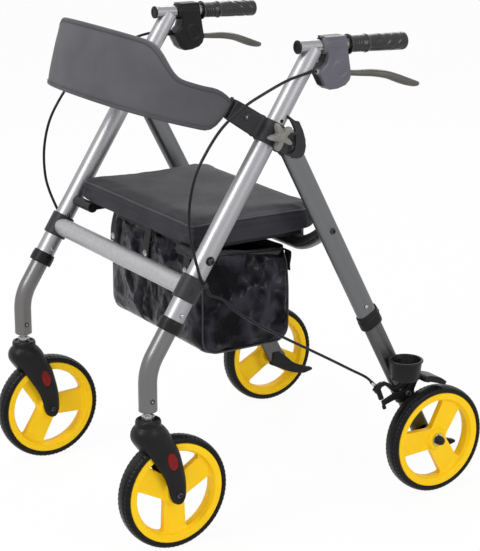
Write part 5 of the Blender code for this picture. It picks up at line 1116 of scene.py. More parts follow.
def addRearLegs():
    look, body = rearLook, "rear_frame"
    tube, leg, low, high = look["tube"], look["leg"], look["tubeStart"], look["legTop"]
    button, top = rearPoint(look["buttonS"]), (rearPivot - rearAxle).length
    shape = rearSweep((low, low + 0.0004, low + 0.05, top - 0.012, top), ovals(tube, 0.0006, 0, 0, 0, 0))
    cuts = [rearSweep((low - 0.01, top - 0.03), ovals(tube, 0.0025, 0.0025)), buttonHole(button, 0, 0.0004)]
    addWorked("rearTube", shape, cuts, "greyCoat", body, "rear_tube_{}")
    roundEnd("rearTubeEnd", rearPivot, tube, "greyCoat")
    addWorked("rearLeg", rearSweep((0.0, 0.1, high - 0.001, high), ovals(leg, 0, 0, 0, 0.0012)),
              [buttonHole(button, 0.004, 0.0003)], "legCoatShaded", body, "rear_leg_{}")
    roundEnd("rearFoot", rearAxle, leg, "legCoatShaded")
    addPair("axleStub", rod(rearAxle, across, 0.004, look["endX"] + 0.010 - legHalf, 0.006, 36), "zincSteel",
            body)
    addPair("axleSpacer", rod(rearAxle, across, 0.0080, 0.2672 - legHalf, 0.010, 40, 0.0008), "nylon", body)
    end = vec(look["endX"], rearAxle.y, rearAxle.z)
    addTurned("hubCap", end, across, 44, "nylon", body,
              ((7.6, 0.2), (7.8, 7), (7.4, 10), (6.2, 12.6), (4, 14.2), (0.05, 14.8)), slotName="zinc_steel")
    addTurned("hubNut", end, across, 6, "nylon", body,
              ((8.6, 0.6), (9.4, 1.2), (9.4, 6.2), (8.6, 7), (6, 7)), slotName="zinc_steel", sharp=20)
    addTurned("hubWasher", end, across, 44, "zincSteel", body,
              ((6.1, -0.2), (10.4, -0.2), (10.8, 0.1), (10.8, 0.9), (10.4, 1.2), (6.1, 1.2)), closed=True)
    # The tipping pedal: a tapering blade behind the axle with three grip ridges
    line = throughPoints(mm((-16, 1, 13), (0, -4, 15), (30, -24, 10.5), (58, -34.8, 8), (72, -36.6, 5),
                            (82, -37, 2.2)), 6)
    outline = ribbon(around(rearAxle, [row[:2] for row in line]), [row[2] for row in line])
    ridges = [rod(vec(0, rearAxle.y + dy, rearAxle.z + dz + half + 0.0002), across, 0.225, 0.255, 0.0011, 12)
              for dy, dz, half in [row for row in line if row[0] > 0.050][:3]]
    addWorked("pedal", plate(outline, *look["pedalX"]), ridges, "nylon", body, bevel=0.0022)
    addBolt("rearBarBolt", body, vec(legHalf + tube[0] / 2 - 0.0003, 0.0492, 0.5131), 0.0058, 0.0034)
    addPair("rearButton", buttonShape(button, across, tube[0] / 2 + frontLook["proud"]), "zincSteel",
            "rear_button_{}", "rear_leg_button_{}")


def addRearCollars():
    start, size = rearLook["tubeStart"], (0.0264, 0.0444)
    low, high = start - 0.0060, start + 0.0220
    body = rearSweep((low, low + 0.0012, low + 0.0030, high - 0.0100, high - 0.0085, high - 0.0012, high),
                     ovals(size, 0.0026, 0.0008, 0, 0, 0.0014, 0.0014, 0.0034, arc=20))
    lug = sweep([rearPoint(high - 0.012, size[1] / 2 - 0.001),
                 rearPoint(high + 0.0055, size[1] / 2 - 0.0022)],
                [oval(0.0055, 0.0020, 4.0, 24), oval(0.0042, 0.0013, 4.0, 24)])
    cuts = [rearSweep((start - 0.0003, high + 0.02), ovals((0.0206, 0.0386), 0, 0)),
            rearSweep((low - 0.01, high), ovals(rearLook["legBore"], 0, 0))]
    addWorked("rearCollar", together(body, lug), cuts, "nylon", "rear_frame", "rear_collar_{}",
              fuse=0.0008, smooth=4)


crossbarLook = {"radius": 0.011, "flat": 0.140, "end": 0.2357, "y": 0.053, "midZ": 0.466, "rise": 0.046,
                "curve": 1.7, "sleeve": 0.0139, "sleeveEnd": 0.2275}


def crossbarPoint(x):
    look = crossbarLook
    share = max(0.0, abs(x) - look["flat"]) / (look["end"] - look["flat"])
    return vec(x, look["y"], look["midZ"] + look["rise"] * share ** look["curve"])


def alongCrossbar(end, count, section):
    return sweep([crossbarPoint(-end + 2 * end * i / count) for i in range(count + 1)], section, alongTravel)


def addRearCrossbar():
    look = crossbarLook
    addPiece("rearCrossbar", alongCrossbar(look["end"], 72, circle(look["radius"])), "greyCoat", "rear_frame",
             "rear_crossbar")
    # The foam strip that the seat rests on wraps the bar's upper half
    section = arcPoints((0, 0), look["radius"] + 0.0003, -0.10, math.pi + 0.10, 24)
    section += arcPoints((0, 0), look["sleeve"], math.pi + 0.02, -0.02, 30)
    addPiece("crossbarSleeve", alongCrossbar(look["sleeveEnd"], 90, section), "foamRubber", "rear_frame",
             "crossbar_sleeve", sharp=45)


# Brakes: bracket with hook, bent arm with its shoe, and barrel
brakeLook = {"sleeve": (0.0240, 0.0420), "from": 0.0866, "to": 0.1246, "hookX": (0.2500, 0.2575),
             "armX": (0.2585, 0.2633), "shoeX": (0.2585, 0.2950), "shoeReach": 0.107, "ribPitch": 0.0024,
             "hook": ((143.8, 205), (150, 213.5), (160, 217.5), (170, 217), (179, 212), (188, 204),
                      (199, 198), (196, 188), (183, 197.5), (174.5, 206), (168, 210.5), (161, 209),
                      (156, 203), (151.8, 196))}


def addBrakes():
    look, frameBody = brakeLook, "rear_frame"
    low, high = look["from"], look["to"]
    body = rearSweep((low, low + 0.0012, low + 0.003, high - 0.003, high - 0.0012, high),
                     ovals(look["sleeve"], 0.0020, 0.0004, 0, 0, 0.0004, 0.0020, arc=20))
    hook = plate(mm(*look["hook"]), *look["hookX"])
    boss = rod(rockerPivot, across, look["hookX"][0] + 0.0003 - legHalf, 0.2578 - legHalf, 0.0078, 40)
    cuts = [rearSweep((low - 0.01, high + 0.01), ovals(rearLook["legBore"], 0, 0)),
            rod(hookSeat, hookAlong, -0.012, 0.012, 0.0027, 24)]
    addWorked("brakeBracket", together(body, hook, boss), cuts, "nylon", frameBody, "brake_bracket_{}",
              fuse=0.0009, smooth=4)
    screw = rearPoint((low + high) / 2 + 0.006, -0.009, look["sleeve"][0] / 2 - 0.0006)
    addBolt("bracketScrew", frameBody, screw, 0.0042, 0.0020)
    addPair("rockerPin", rod(rockerPivot, across, 0.2505 - legHalf, 0.2640 - legHalf, 0.0035, 28),
            "zincSteel", frameBody)
    y, z = rockerPivot.y, rockerPivot.z
    addBolt("rockerBolt", frameBody, vec(look["armX"][1] + 0.0002, y, z), 0.0056, 0.0026)

    line = throughPoints(mm((-56, -10.5, 5), (-27, -1.5, 6.4), (0, 0, 8.4), (21.5, 31.5, 4.6)), 7)
    arm = plate(ribbon(around(rockerPivot, [row[:2] for row in line]), [row[2] for row in line]),
                *look["armX"])
    turn, reach = math.radians(82.5), look["shoeReach"]
    bend = throughPoints([(y + 0.0175, z + 0.0260), (y + 0.0215, z + 0.0315), (0.260, 0.2146),
                          (rearAxleY + reach * math.cos(turn), wheelRadius + reach * math.sin(turn))], 7)
    halves = [mix(0.0056, 0.0058, k / 14) for k in range(14)] + [mix(0.0058, 0.0034, k / 7) for k in range(8)]
    shoe = plate(ribbon(bend, halves), *look["shoeX"])
    tipY, tipZ = bend[-1]
    cuts = [rod(rockerPivot, across, 0, 0.04, 0.0037, 24)]
    cuts += [rod(vec(0, tipY - 0.0046, tipZ + 0.006 + 0.0045 * k), across, 0.255, 0.30, 0.0007, 10)
             for k in range(5)]
    addWorked("brakeArm", together(arm, shoe), cuts, "nylon", "brake_{}", "brake_arm_{}",
              fuse=0.0008, smooth=3)
    # Bright ferrule where the cable ends, ribbed barrel down to the arm's end, and the nub below it
    addTurned("cableFerrule", hookSeat + hookAlong * 0.0025, hookAlong, 32, "zincSteel", frameBody,
              ((2.7, -17), (3.4, -17), (3.7, -16), (3.7, -7.5), (3.4, -6.8), (2.7, -6.8)), closed=True)
    top, armEnd = hookSeat + hookAlong * 0.006, vec(hookSeat.x + 0.0055, y - 0.0540, z - 0.0085)
    drop, reach = (armEnd - top).normalized(), (armEnd - top).length - 0.0055
    count = int(reach / look["ribPitch"])
    ribs = [(0.0009, 0.0), (0.0042, 0.0)]
    for k in range(count):
        at = reach * (k + 0.15) / count
        ribs += [(0.0050, at), (0.0050, at + 0.0012), (0.0043, at + 0.0015), (0.0043, at + 0.0019)]
    ribs += [(0.0043, reach), (0.0009, reach + 0.0003)]
    pieces = addPair("cableBarrel", lathe(ribs, top, drop, 36), "nylon", None, sharp=25)
    for (side, label), piece in zip(sides, pieces):
        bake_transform(piece)
    addTurned("wireNub", armEnd + drop * 0.0062, drop, 28, "nylon", "brake_{}",
              ((1, 0), (3, 0.4), (3.6, 1.4), (3.6, 6.2), (2.8, 7.6), (0.05, 8)))


cupLook = {"place": vec(0.282, 0.193, 0.2256), "facets": 80, "widen": 1.10, "flatten": 0.93,
           "outside": 0.0244,
           "profile": ((0.05, 0), (18, 0), (20.6, 0.3), (21.9, 1.2), (22.9, 3), (23.6, 8), (26.4, 35.2),
                       (27.2, 36.2), (28.2, 37), (28.6, 38.3), (28.5, 39.6), (27.8, 40.6), (26.6, 41.1),
                       (25.4, 40.9), (24.6, 40.1), (24.2, 39), (21, 4), (20.2, 2.6), (18.5, 2.3),
                       (0.05, 2.3))}


def addCup():
    look = cupLook
    profile = [(radius * look["widen"], height * look["flatten"]) for radius, height in mm(*look["profile"])]
    addPiece("caneCup", lathe(profile, look["place"], up, look["facets"]), "nylon", "rear_frame", "cane_cup")
    pad = boxShape((0.2556, 0.174, 0.2310), (0.2640, 0.200, 0.2565))
    cup = rod(look["place"], up, 0.0032, 0.05, look["outside"], 64)
    addPiece("cupArm", worked(pad, [cup], fuse=0.0008, smooth=4), "nylon", "rear_frame")


addRearLegs()
addRearCollars()
addRearCrossbar()
addBrakes()
addCup()
print("rear frame and brakes dressed")


# Soft goods: shared tools for stuffed shells, welts and stitches
def stuffed(shape, voxel, pressure, cap, held, steps=20):
    # Fills a closed shell as cloth under pressure; no point moves further than the cap
    mesh = worked(shape, fuse=voxel)
    item, scene = linked("cloth", mesh), bpy.context.scene
    before = [vertex.co.copy() for vertex in mesh.vertices]
    group = item.vertex_groups.new(name="held")
    group.add([i for i, place in enumerate(before) if held(place)], 1.0, "REPLACE")
    step = item.modifiers.new("Cloth", "CLOTH")
    cloth = step.settings
    cloth.quality, cloth.mass = 6, 0.25
    cloth.tension_stiffness = cloth.compression_stiffness = 18
    cloth.shear_stiffness, cloth.bending_stiffness = 6, 0.6
    cloth.use_pressure, cloth.uniform_pressure_force = True, pressure
    cloth.effector_weights.gravity = 0
    cloth.vertex_group_mass = "held"
    step.collision_settings.use_collision = False
    step.point_cache.frame_start, step.point_cache.frame_end = 1, steps
    for number in range(1, steps + 1):
        scene.frame_set(number)
    done = evaluated(item)
    for vertex, old in zip(done.vertices, before):
        move = vertex.co - old
        if move.length > cap:
            vertex.co = old + move * (cap / move.length)
    scene.frame_set(1)
    return done


def finer(mesh):
    item = linked("fine", mesh)
    step = item.modifiers.new("Smooth", "SUBSURF")
    step.levels = step.render_levels = 1
    return evaluated(item)


def skinOf(mesh):
    return BVHTree.FromPolygons([vertex.co.copy() for vertex in mesh.vertices],
                                [tuple(polygon.vertices) for polygon in mesh.polygons])


def onSkin(skin, start, direction, fallback):
    place, normal, _, _ = skin.ray_cast(start, direction)
    return (place, normal) if place is not None else (fallback, -direction)


def level(x, y):
    return vec(x, y, 0)


def threadStitches(path, normals, pitch=0.0042, length=0.0026, radius=0.00042):
    # Short raised stitches along a line on the cloth
    runs, run = [], 0.0
    for i, place in enumerate(path):
        run += (place - path[max(i - 1, 0)]).length
        runs.append(run)
    shapes, at, i = [], pitch / 2, 0
    while at < run and i < len(path) - 1:
        while i < len(path) - 2 and runs[i + 1] < at:
            i += 1
        place = path[i].lerp(path[i + 1], (at - runs[i]) / max(runs[i + 1] - runs[i], 1e-9))
        along, normal = (path[i + 1] - path[i]).normalized(), normals[i]
        beside = along.cross(normal)
        shapes.append(loft([[place + along * (end * length) + normal * ((v + 0.35) * radius * thick)
                             + beside * (u * radius * 1.2 * thick) for u, v in circle(1.0, 6)]
                            for end, thick in ((-0.5, 0.3), (-0.36, 0.9), (0, 1), (0.36, 0.9), (0.5, 0.3))]))
        at += pitch
    return together(*shapes)


def resampled(ring, count):
    run, closed = [0.0], ring + [ring[0]]
    for a, b in zip(closed, closed[1:]):
        run.append(run[-1] + (b - a).length)
    made, i = [], 0
    for k in range(count):
        at = run[-1] * k / count
        while i < len(run) - 2 and run[i + 1] < at:
            i += 1
        made.append(closed[i].lerp(closed[i + 1], (at - run[i]) / max(run[i + 1] - run[i], 1e-9)))
    return made


def softened(points, rounds, closed=False):
    points = list(points)
    for _ in range(rounds):
        new = list(points)
        for i in range(len(points)):
            if closed or 0 < i < len(points) - 1:
                new[i] = (points[i - 1] + points[i] * 2 + points[(i + 1) % len(points)]) / 4
        points = new
    return points


# Seat: a stuffed cushion with a welted top edge and a sewn side seam
seatLook = {"half": 0.205, "frontY": -0.205, "rearY": 0.0730, "rearCorner": 0.042, "frontCorner": 0.014,
            "bottomZ": 0.505, "height": 0.0440, "smaller": 0.0030, "voxel": 0.005, "pressure": 4.0,
            "cap": 0.005, "weltRise": 0.0352, "weltRadius": 0.0018, "seamRise": 0.0225, "channel": 0.0016,
            "ripple": 0.0008, "wave": 0.0011, "slack": 0.0009,
            "layers": ((0.4, 10), (4, 4), (12.2, 0), (19, 0.4), (27.2, 1.2), (33, 1.2), (36.5, 3), (40, 8.5),
                       (42.4, 30), (43.6, 65), (44, 105))}


def seatOutline(inset):
    look = seatLook
    low, high, half = look["frontY"] + inset, look["rearY"] - inset, look["half"] - inset
    points, filled = [], []
    for quarter, (x, y, key) in enumerate(((half, high, "rearCorner"), (-half, high, "rearCorner"),
                                           (-half, low, "frontCorner"), (half, low, "frontCorner"))):
        radius, start = max(look[key] - inset, 0.004), math.pi / 2 * quarter
        centre = (x - math.copysign(radius, x), y - radius if quarter < 2 else y + radius)
        points += arcPoints(centre, radius, start, start + math.pi / 2, 14)
    for i, (x, y) in enumerate(points):
        nextX, nextY = points[(i + 1) % len(points)]
        parts = max(1, round(math.hypot(nextX - x, nextY - y) / 0.006))
        filled += [(mix(x, nextX, k / parts), mix(y, nextY, k / parts)) for k in range(parts)]
    return filled


def dressCushion(mesh):
    look, base = seatLook, seatLook["bottomZ"]
    middleY, halfY = (look["frontY"] + look["rearY"]) / 2, (look["rearY"] - look["frontY"]) / 2
    corners = [(sign, y, radius) for sign, _ in sides
               for y, radius in ((look["frontY"] + look["frontCorner"], look["frontCorner"]),
                                 (look["rearY"] - look["rearCorner"], look["rearCorner"]))]
    for vertex in mesh.vertices:
        place = vertex.co
        rise = place.z - base
        outline = max(abs(place.x) / look["half"], abs(place.y - middleY) / halfY)
        if outline < 0.80 and rise < 0.02:
            place.z = max(place.z, base)
            continue
        outwards = level(place.x * 0.5, place.y - middleY).normalized()
        # The cloth is drawn in along the side seam and under the welt
        pull = sum(depth * math.exp(-((rise - height) / width) ** 2)
                   for height, depth, width in ((look["seamRise"], look["channel"], 0.0021),
                                                (look["weltRise"] - 0.0026, 0.0012, 0.0019)))
        # Puckers fan out from the seams at the corners, long soft waves between them
        ripple = 0.0
        for sign, cornerY, radius in corners:
            offset = level(place.x, place.y) - level(sign * (look["half"] - radius), cornerY)
            reach = math.exp(-(max(offset.length - radius, 0.0) / 0.020) ** 2)
            if sign * offset.x > -0.01 and (offset.y < 0.01 if cornerY < 0 else offset.y > -0.01):
                ripple += reach * math.sin(math.atan2(offset.y, offset.x) * 15 + rise * 60)
        band = smoothStep(rise, 0.002, 0.010) * (1 - smoothStep(rise, 0.034, 0.040))
        wave = noise.noise(vec(place.x * 22, place.y * 22, rise * 60)) * look["wave"]
        slack = noise.noise(vec(place.x * 7 + 3, place.y * 7, 2.0)) * look["slack"]
        if outline > 0.9:
            place -= outwards * pull * band
            place += outwards * (ripple * look["ripple"] + wave) * band
        if rise > 0.036:
            place.z += slack * (1 - smoothStep(outline, 0.86, 0.98)) - 0.0002
        place.z = max(place.z, base - 0.0003)


def addSeat():
    look, base = seatLook, seatLook["bottomZ"]
    rings = []
    for rise, inset in mm(*look["layers"]):
        rise = min(rise, look["height"] - look["smaller"]) if rise > 0.03 else rise
        rings.append([vec(x, y, base + rise) for x, y in seatOutline(inset + look["smaller"] * 0.7)])
    count = len(rings[0])
    rings = [ring if len(ring) == count else resampled(ring, count) for ring in rings]
    mesh = finer(stuffed(loft(rings), look["voxel"], look["pressure"], look["cap"],
                         lambda place: place.z < base + 0.003))
    dressCushion(mesh)
    seat = addPiece("seatCushion", mesh, "seatCloth", "seat", "seat_cushion", sharp=70)
    skin, middleY = skinOf(mesh), (look["frontY"] + look["rearY"]) / 2
    for name, rise, radius, lift, drop in (("seatWelt", look["weltRise"], look["weltRadius"], 0.0003, 0.0034),
                                           ("seatSeam", look["seamRise"], 0, 0.0002, 0)):
        path, normals = [], []
        for x, y in seatOutline(-0.02):
            start, inwards = vec(x, y, base + rise), level(-x * 0.55, middleY - y).normalized()
            place, normal = onSkin(skin, start, inwards, start + inwards * 0.02)
            path.append(place)
            normals.append(level(normal.x, normal.y).normalized())
        path = softened(path, 2, closed=True)
        if radius:
            line = [place + normal * (radius * 0.25) for place, normal in zip(path, normals)]
            addPiece(name, sweep(line, circle(radius, 12), up, closed=True), "pipingCloth", "seat", sharp=80,
                     slotName="seat_fabric")
        line = [place + normal * lift - up * drop for place, normal in zip(path, normals)]
        addPiece(name + "Stitches", threadStitches(line, normals), "thread", "seat", sharp=80)


def addSeatBoard():
    # The board, its arms and saddles stay as they are in the model, with bolt heads added at the hinge
    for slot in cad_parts["seat_frame"].material_slots:
        slot.material = finishes["nylon"]
    hinge = frontPoint(seatHingeS)
    addTurned("seatBolt", hinge + across * 0.0212, across, 36, "blackSteel", "seat",
              ((5.8, 0), (5.8, 1.6), (5.2, 3), (3.6, 3.6), (2.7, 3.6), (2.4, 1.4), (0.05, 1.4)))
    addTurned("seatWasher", hinge, across, 36, "nylon", "seat",
              ((3, 17.9), (7.6, 17.9), (7.8, 18.2), (7.8, 18.8), (7.4, 19.1), (3, 19.1)), closed=True)


addSeat()
addSeatBoard()
print("seat sewn")


# Backrest: padded band on black tongues, bound along both edges
backLook = {"half": 0.236, "exponent": 2.62, "topFront": (-0.2681, 0.8576), "topSide": (-0.144, 0.8086),
            "lowFront": (-0.3022, 0.7416), "lowSide": (-0.168, 0.7059), "strapHalf": 0.0045,
            "padHalf": 0.0075, "binding": 0.0046, "crown": 0.0011,
            "strapEnd": ((241, -143.6, 753.5, -149, 745.2), (240.7, -147.8, 759, -156, 736.5),
                         (240.2, -153.5, 764.8, -164.5, 726.8), (239.4, -160.5, 771, -173.5, 717),
                         (238.2, -169, 776.2, -182.5, 710.5), (236.2, -177, 779, -192, 711.2)),
            "tongue": ((75, 12, 2.5), (90.5, 12, 2.5), (91.5, 12.2, 2.6), (92, 15, 4.6), (92.6, 15.8, 5.2),
                       (93.4, 16, 4.8), (94, 16.6, 5.4), (94.8, 16.8, 5), (95.4, 17.6, 5.6),
                       (96.2, 17.8, 5.1), (96.8, 18.4, 5.5), (97.6, 18, 4.4))}


def backEdge(angle, front, sideEnd):
    c, power = math.cos(angle), 2 / backLook["exponent"]
    share = abs(math.sin(angle)) ** power
    return vec(backLook["half"] * math.copysign(abs(c) ** power, c), mix(sideEnd[0], front[0], share),
               mix(sideEnd[1], front[1], share))


def backStations():
    # High point, low point, half thickness and inward shift, from the left strap round to the middle
    look = backLook
    # The strap's end is cut at a slant, and its lower corner hangs below the tongue
    stations = [(vec(x, highY, highZ), vec(x, lowY, lowZ), look["strapHalf"], 0.0)
                for x, highY, highZ, lowY, lowZ in mm(*look["strapEnd"])]
    for degrees in range(9, 91, 3):
        high, low = [backEdge(math.radians(degrees), look[key + "Front"], look[key + "Side"])
                     for key in ("top", "low")]
        half = mix(look["strapHalf"], look["padHalf"], smoothStep((degrees - 24) / 20))
        stations.append((low + (high - low) * (0.61 + 0.39 * smoothStep((degrees - 26) / 30)), low, half,
                         half * smoothStep((degrees - 8) / 30)))
    return stations


def backFrames():
    left, flip = backStations(), vec(-1, 1, 1)
    stations = left + [(high * flip, low * flip, half, inward) for high, low, half, inward in left[-2::-1]]
    highs, lows = [softened([row[which] for row in stations], 2) for which in (0, 1)]
    rows = []
    for i, (_, _, half, inward) in enumerate(stations):
        before, after = max(i - 1, 0), min(i + 1, len(stations) - 1)
        along = (highs[after] + lows[after] - highs[before] - lows[before]).normalized()
        tall = (highs[i] - lows[i]).normalized()
        through = along.cross(tall).normalized()
        rows.append(((highs[i] + lows[i]) / 2 + through * inward, tall, through,
                     (highs[i] - lows[i]).length / 2, half))
    return rows


def addBackrest():
    look, rows, body = backLook, backFrames(), "front_frame"
    rings = []
    for centre, tall, through, high, half in rows:
        # The pad's faces crown a little between their bound edges
        swell = look["crown"] * smoothStep(half, 0.0046, 0.0074)
        rings.append([centre + tall * a + through * (b + swell * max(0.0, 1 - (a / high) ** 2)
                                                     * math.copysign(min(1.0, abs(b) / half), b))
                      for a, b in oval(high, half, 5.0, 72)])
    mesh = finer(meshOf("backrestPad", loft(rings)))
    for vertex in mesh.vertices:
        place = vertex.co
        soft = smoothStep(look["half"] - abs(place.x), 0.004, 0.05)
        vertex.co = place + vec(0, 1, 0.1) * soft * 0.0006 * noise.noise(place * 17.0)
    band = addPiece("backrestPad", mesh, "backCloth", body, "backrest_band", sharp=70)
    size, rows = look["binding"], rows[1:-1]
    for name, sign in (("backBindingTop", 1), ("backBindingLow", -1)):
        rings = [[centre + tall * (sign * (high - size * 0.66) + a) + through * b
                  for a, b in oval(size, half * 0.94 + 0.0004, 3.2, 28)]
                 for centre, tall, through, high, half in rows]
        addPiece(name, loft(rings), "bindingCloth", body, sharp=70)
        seams = []
        for face in (-1, 1):
            line = throughPoints([centre + tall * (sign * (high - size * 1.25))
                                  + through * (face * (half + 0.0004))
                                  for centre, tall, through, high, half in rows], 4)
            normals = [rows[min(i // 4, len(rows) - 1)][2] * face for i in range(len(line))]
            seams.append(threadStitches([Vector(place) for place in line], normals, 0.0045, 0.0028, 0.0004))
        addPiece(name + "Stitches", together(*seams), "thread", body, sharp=80, slotName="back_fabric")
    # Ribbed tongues reach from the sockets into the band
    tongue = loft([[frontPoint(knobS, ahead) + frontUp * a + across * b for a, b in oval(high, half, 6.0, 40)]
                   for ahead, high, half in mm(*look["tongue"])])
    addPair("backTongue", tongue, "nylon", body, sharp=40)


# Bag: a sewn nylon shell that sags between its corners, with hem, welts, straps and snaps
bagLook = {"half": 0.166, "frontY": -0.161, "rearY": 0.026, "corner": 0.016, "bottomZ": 0.296, "topZ": 0.4916,
           "wall": 0.0014, "around": 288, "levels": 66, "bulge": 0.0040, "turn": 0.028, "rearDrop": 0.020,
           "insets": ((0.0, 3), (0.012, 0.8), (0.05, 0), (0.50, 0), (0.82, 2), (1.0, 7)),
           "sideFolds": ((-128, 470, -100, 405, 8.5, 4.6), (-100, 405, -112, 372, 9, 3.4),
                         (-60, 478, -30, 400, 12, 4), (-30, 400, -52, 340, 13, 3.6),
                         (4, 470, -18, 372, 12, -3.8), (-130, 410, -100, 320, 12, -4),
                         (-80, 380, -40, 312, 13, 3.8), (0, 380, 8, 320, 11, 3)),
           "endFolds": ((-120, 478, -60, 430, 10, 3.6), (-50, 480, -75, 400, 10, -3.4),
                        (10, 480, 60, 430, 11, 4.2), (60, 430, 40, 360, 14, 3.4), (80, 482, 120, 452, 9, -3),
                        (-110, 390, -50, 330, 15, 3.4), (30, 352, 110, 325, 12, -3),
                        (120, 440, 140, 350, 12, 3.6), (-20, 400, 0, 320, 12, -2.6)),
           "straps": ((-154.4, 431, -1), (-24.8, 429, -1), (113, 430, -1), (153, 424, 1)), "strapTop": 0.4905}
bagMiddle = level(0, (bagLook["frontY"] + bagLook["rearY"]) / 2)


def bagRow(inset, under, z):
    # One level of the shell; under is how far the front and rear have turned in towards the floor
    radius = min(bagLook["corner"], 0.006 + z * 0.05)
    reachX = bagLook["half"] - inset - radius
    lowY, highY = bagLook["frontY"] + inset + under + radius, bagLook["rearY"] - inset - under - radius
    points = []
    for quarter, centre in enumerate(((reachX, highY), (-reachX, highY), (-reachX, lowY), (reachX, lowY))):
        start = math.pi / 2 * quarter
        points += arcPoints(centre, radius, start, start + math.pi / 2, 10)
    return resampled([vec(x, y, z) for x, y in points], bagLook["around"])


def foldHeight(place, start, end, width):
    # How strongly a point feels a soft ridge that runs from start to end on a panel
    line = end - start
    share = max(0.0, min(1.0, (place - start).dot(line) / line.length_squared))
    distance = (place - start - line * share).length
    return math.exp(-(distance / width) ** 2) * math.sin(math.pi * (0.12 + 0.76 * share))


def bagFolds():
    look, folds = bagLook, []
    for startY, startZ, endY, endZ, width, height in mm(*look["sideFolds"]):
        for x, shift in ((look["half"], 0.0), (-look["half"], 0.013)):
            folds.append((vec(x, startY + shift, startZ), vec(x, endY + shift, endZ), width, height))
    for startX, startZ, endX, endZ, width, height in mm(*look["endFolds"]):
        for y, flip in ((look["frontY"], 1), (look["rearY"], -1)):
            folds.append((vec(flip * startX, y, startZ), vec(flip * endX, y, endZ), width, height))
    return folds


def bagSkin():
    look, folds, turn = bagLook, bagFolds(), bagLook["turn"]
    halfY = (look["rearY"] - look["frontY"]) / 2
    shares, insets = zip(*look["insets"])
    skin = []
    for number in range(look["levels"]):
        share = (number / (look["levels"] - 1)) ** 1.5
        rise = (look["topZ"] - look["bottomZ"]) * share
        under = turn - math.sqrt(turn ** 2 - (turn - rise) ** 2) if rise < turn else 0.0
        ring = []
        inset = float(np.interp(share, shares, insets)) / 1000
        for place in bagRow(inset, under, look["bottomZ"] + rise):
            x, y = place.x / look["half"], (place.y - bagMiddle.y) / halfY
            onSide = abs(x) > abs(y) * 0.999
            outwards = level(math.copysign(1, x), 0) if onSide else level(0, math.copysign(1, y))
            beside = y if onSide else x
            belly = look["bulge"] * (1 - beside ** 2) * math.sin(math.pi * min(1.0, share * 1.02) ** 0.75)
            fold = sum(height * foldHeight(place, start, end, width) for start, end, width, height in folds
                       if (start - place).dot(outwards) ** 2 < 0.0009)
            crumple = 0.0012 * noise.noise(vec(place.x * 38, place.y * 38, place.z * 22)) + \
                0.0019 * noise.noise(vec(place.x * 15 + 7, place.y * 15, place.z * 11))
            quiet = smoothStep(share, 0.0, 0.10) * (1 - 0.75 * smoothStep(share, 0.955, 1.0))
            move = (belly + (fold + crumple) * max(0.0, 1 - beside ** 6)) * quiet
            # The rim hangs slack between the corners, and lower towards the rear
            slack = (0.0080 if onSide else 0.0050) * max(0.0, 1 - beside ** 4)
            slack = (slack + look["rearDrop"] * smoothStep(y, -1, 0.9)) * smoothStep(share, 0.45, 1.0)
            ring.append(place + outwards * (move - 0.0016) - up * slack)
        skin.append(ring)
    return skin


def bagShape(outer):
    look, outside = bagLook, []
    for scale in (0.05, 0.35, 0.65, 0.88, 0.97):
        ring = []
        for place in outer[0]:
            flat = bagMiddle + (level(place.x, place.y) - bagMiddle) * scale
            sag = 0.0022 * (1 - scale ** 2) + 0.0009 * noise.noise(vec(flat.x * 30, flat.y * 30, 1.0))
            ring.append(flat + up * (look["bottomZ"] + 0.0030 - sag))
        outside.append(ring)
    outside += outer
    inside = []
    for ring in reversed(outside):
        row = []
        for place in ring:
            flat = level(place.x, place.y) - bagMiddle
            shrink = min(look["wall"] / max(flat.length, 0.02), 0.08)
            rise = look["wall"] if place.z < look["bottomZ"] + 0.006 else 0.0
            row.append(bagMiddle + flat * (1 - shrink) + up * (place.z + rise))
        inside.append(row)
    return loft(outside + inside)


def bagWelts(skin):
    # A welt runs round each side panel: down one corner, under the floor and up the other
    look, welts = bagLook, []
    low, high, turn, floor = look["frontY"], look["rearY"], look["turn"], look["bottomZ"] + look["turn"]
    bend = [(low, look["topZ"] - 0.012), (low, floor)]
    bend += arcPoints((low + turn, floor), turn, math.pi, math.pi * 1.5, 8)
    bend += arcPoints((high - turn, floor), turn, math.pi * 1.5, math.pi * 2, 8)
    bend += [(high, floor), (high, look["topZ"] - 0.012 - look["rearDrop"])]
    for side, _ in sides:
        line = []
        for point in evenly([vec(0, y, z) for y, z in bend], 0.004):
            place, normal, _, _ = skin.find_nearest(vec(side * (look["half"] + 0.004), point.y, point.z))
            line.append(place + normal * 0.0007)
        welts.append(sweep(softened(line, 4), circle(0.0016, 10)))
    return together(*welts)


def bagStraps(skin):
    straps, snaps = [], []
    for x, endZ, y in bagLook["straps"]:
        x, face = x / 1000, bagLook["frontY"] - 0.03 if y < 0 else bagLook["rearY"] + 0.03
        path = []
        for k in range(26):
            z = mix(bagLook["strapTop"], endZ / 1000, k / 25)
            place, _ = onSkin(skin, vec(x, face, z), vec(0, -y, 0), vec(x, face - 0.03 * y, z))
            hang = 0.008 * math.sin(math.pi * min(1.0, k / 20)) if y > 0 else 0.0
            path.append(vec(x, place.y + y * 0.0012 + hang, z))
        path = softened(path, 3)
        widths = [0.0105] * 25 + [0.0096]
        straps.append(loft([[place + vec(a, y * b, 0) for a, b in oval(width, 0.0008, 6.0, 24)]
                            for place, width in zip(path, widths)]))
        snaps.append(lathe(mm((6.2, 0.4), (6.2, 1.3), (5.4, 2), (3.6, 2.4), (3, 2.1), (1.6, 2.2),
                           (0.05, 2.2)), path[21], vec(0, y, 0), 36))
    return together(*straps), together(*snaps)


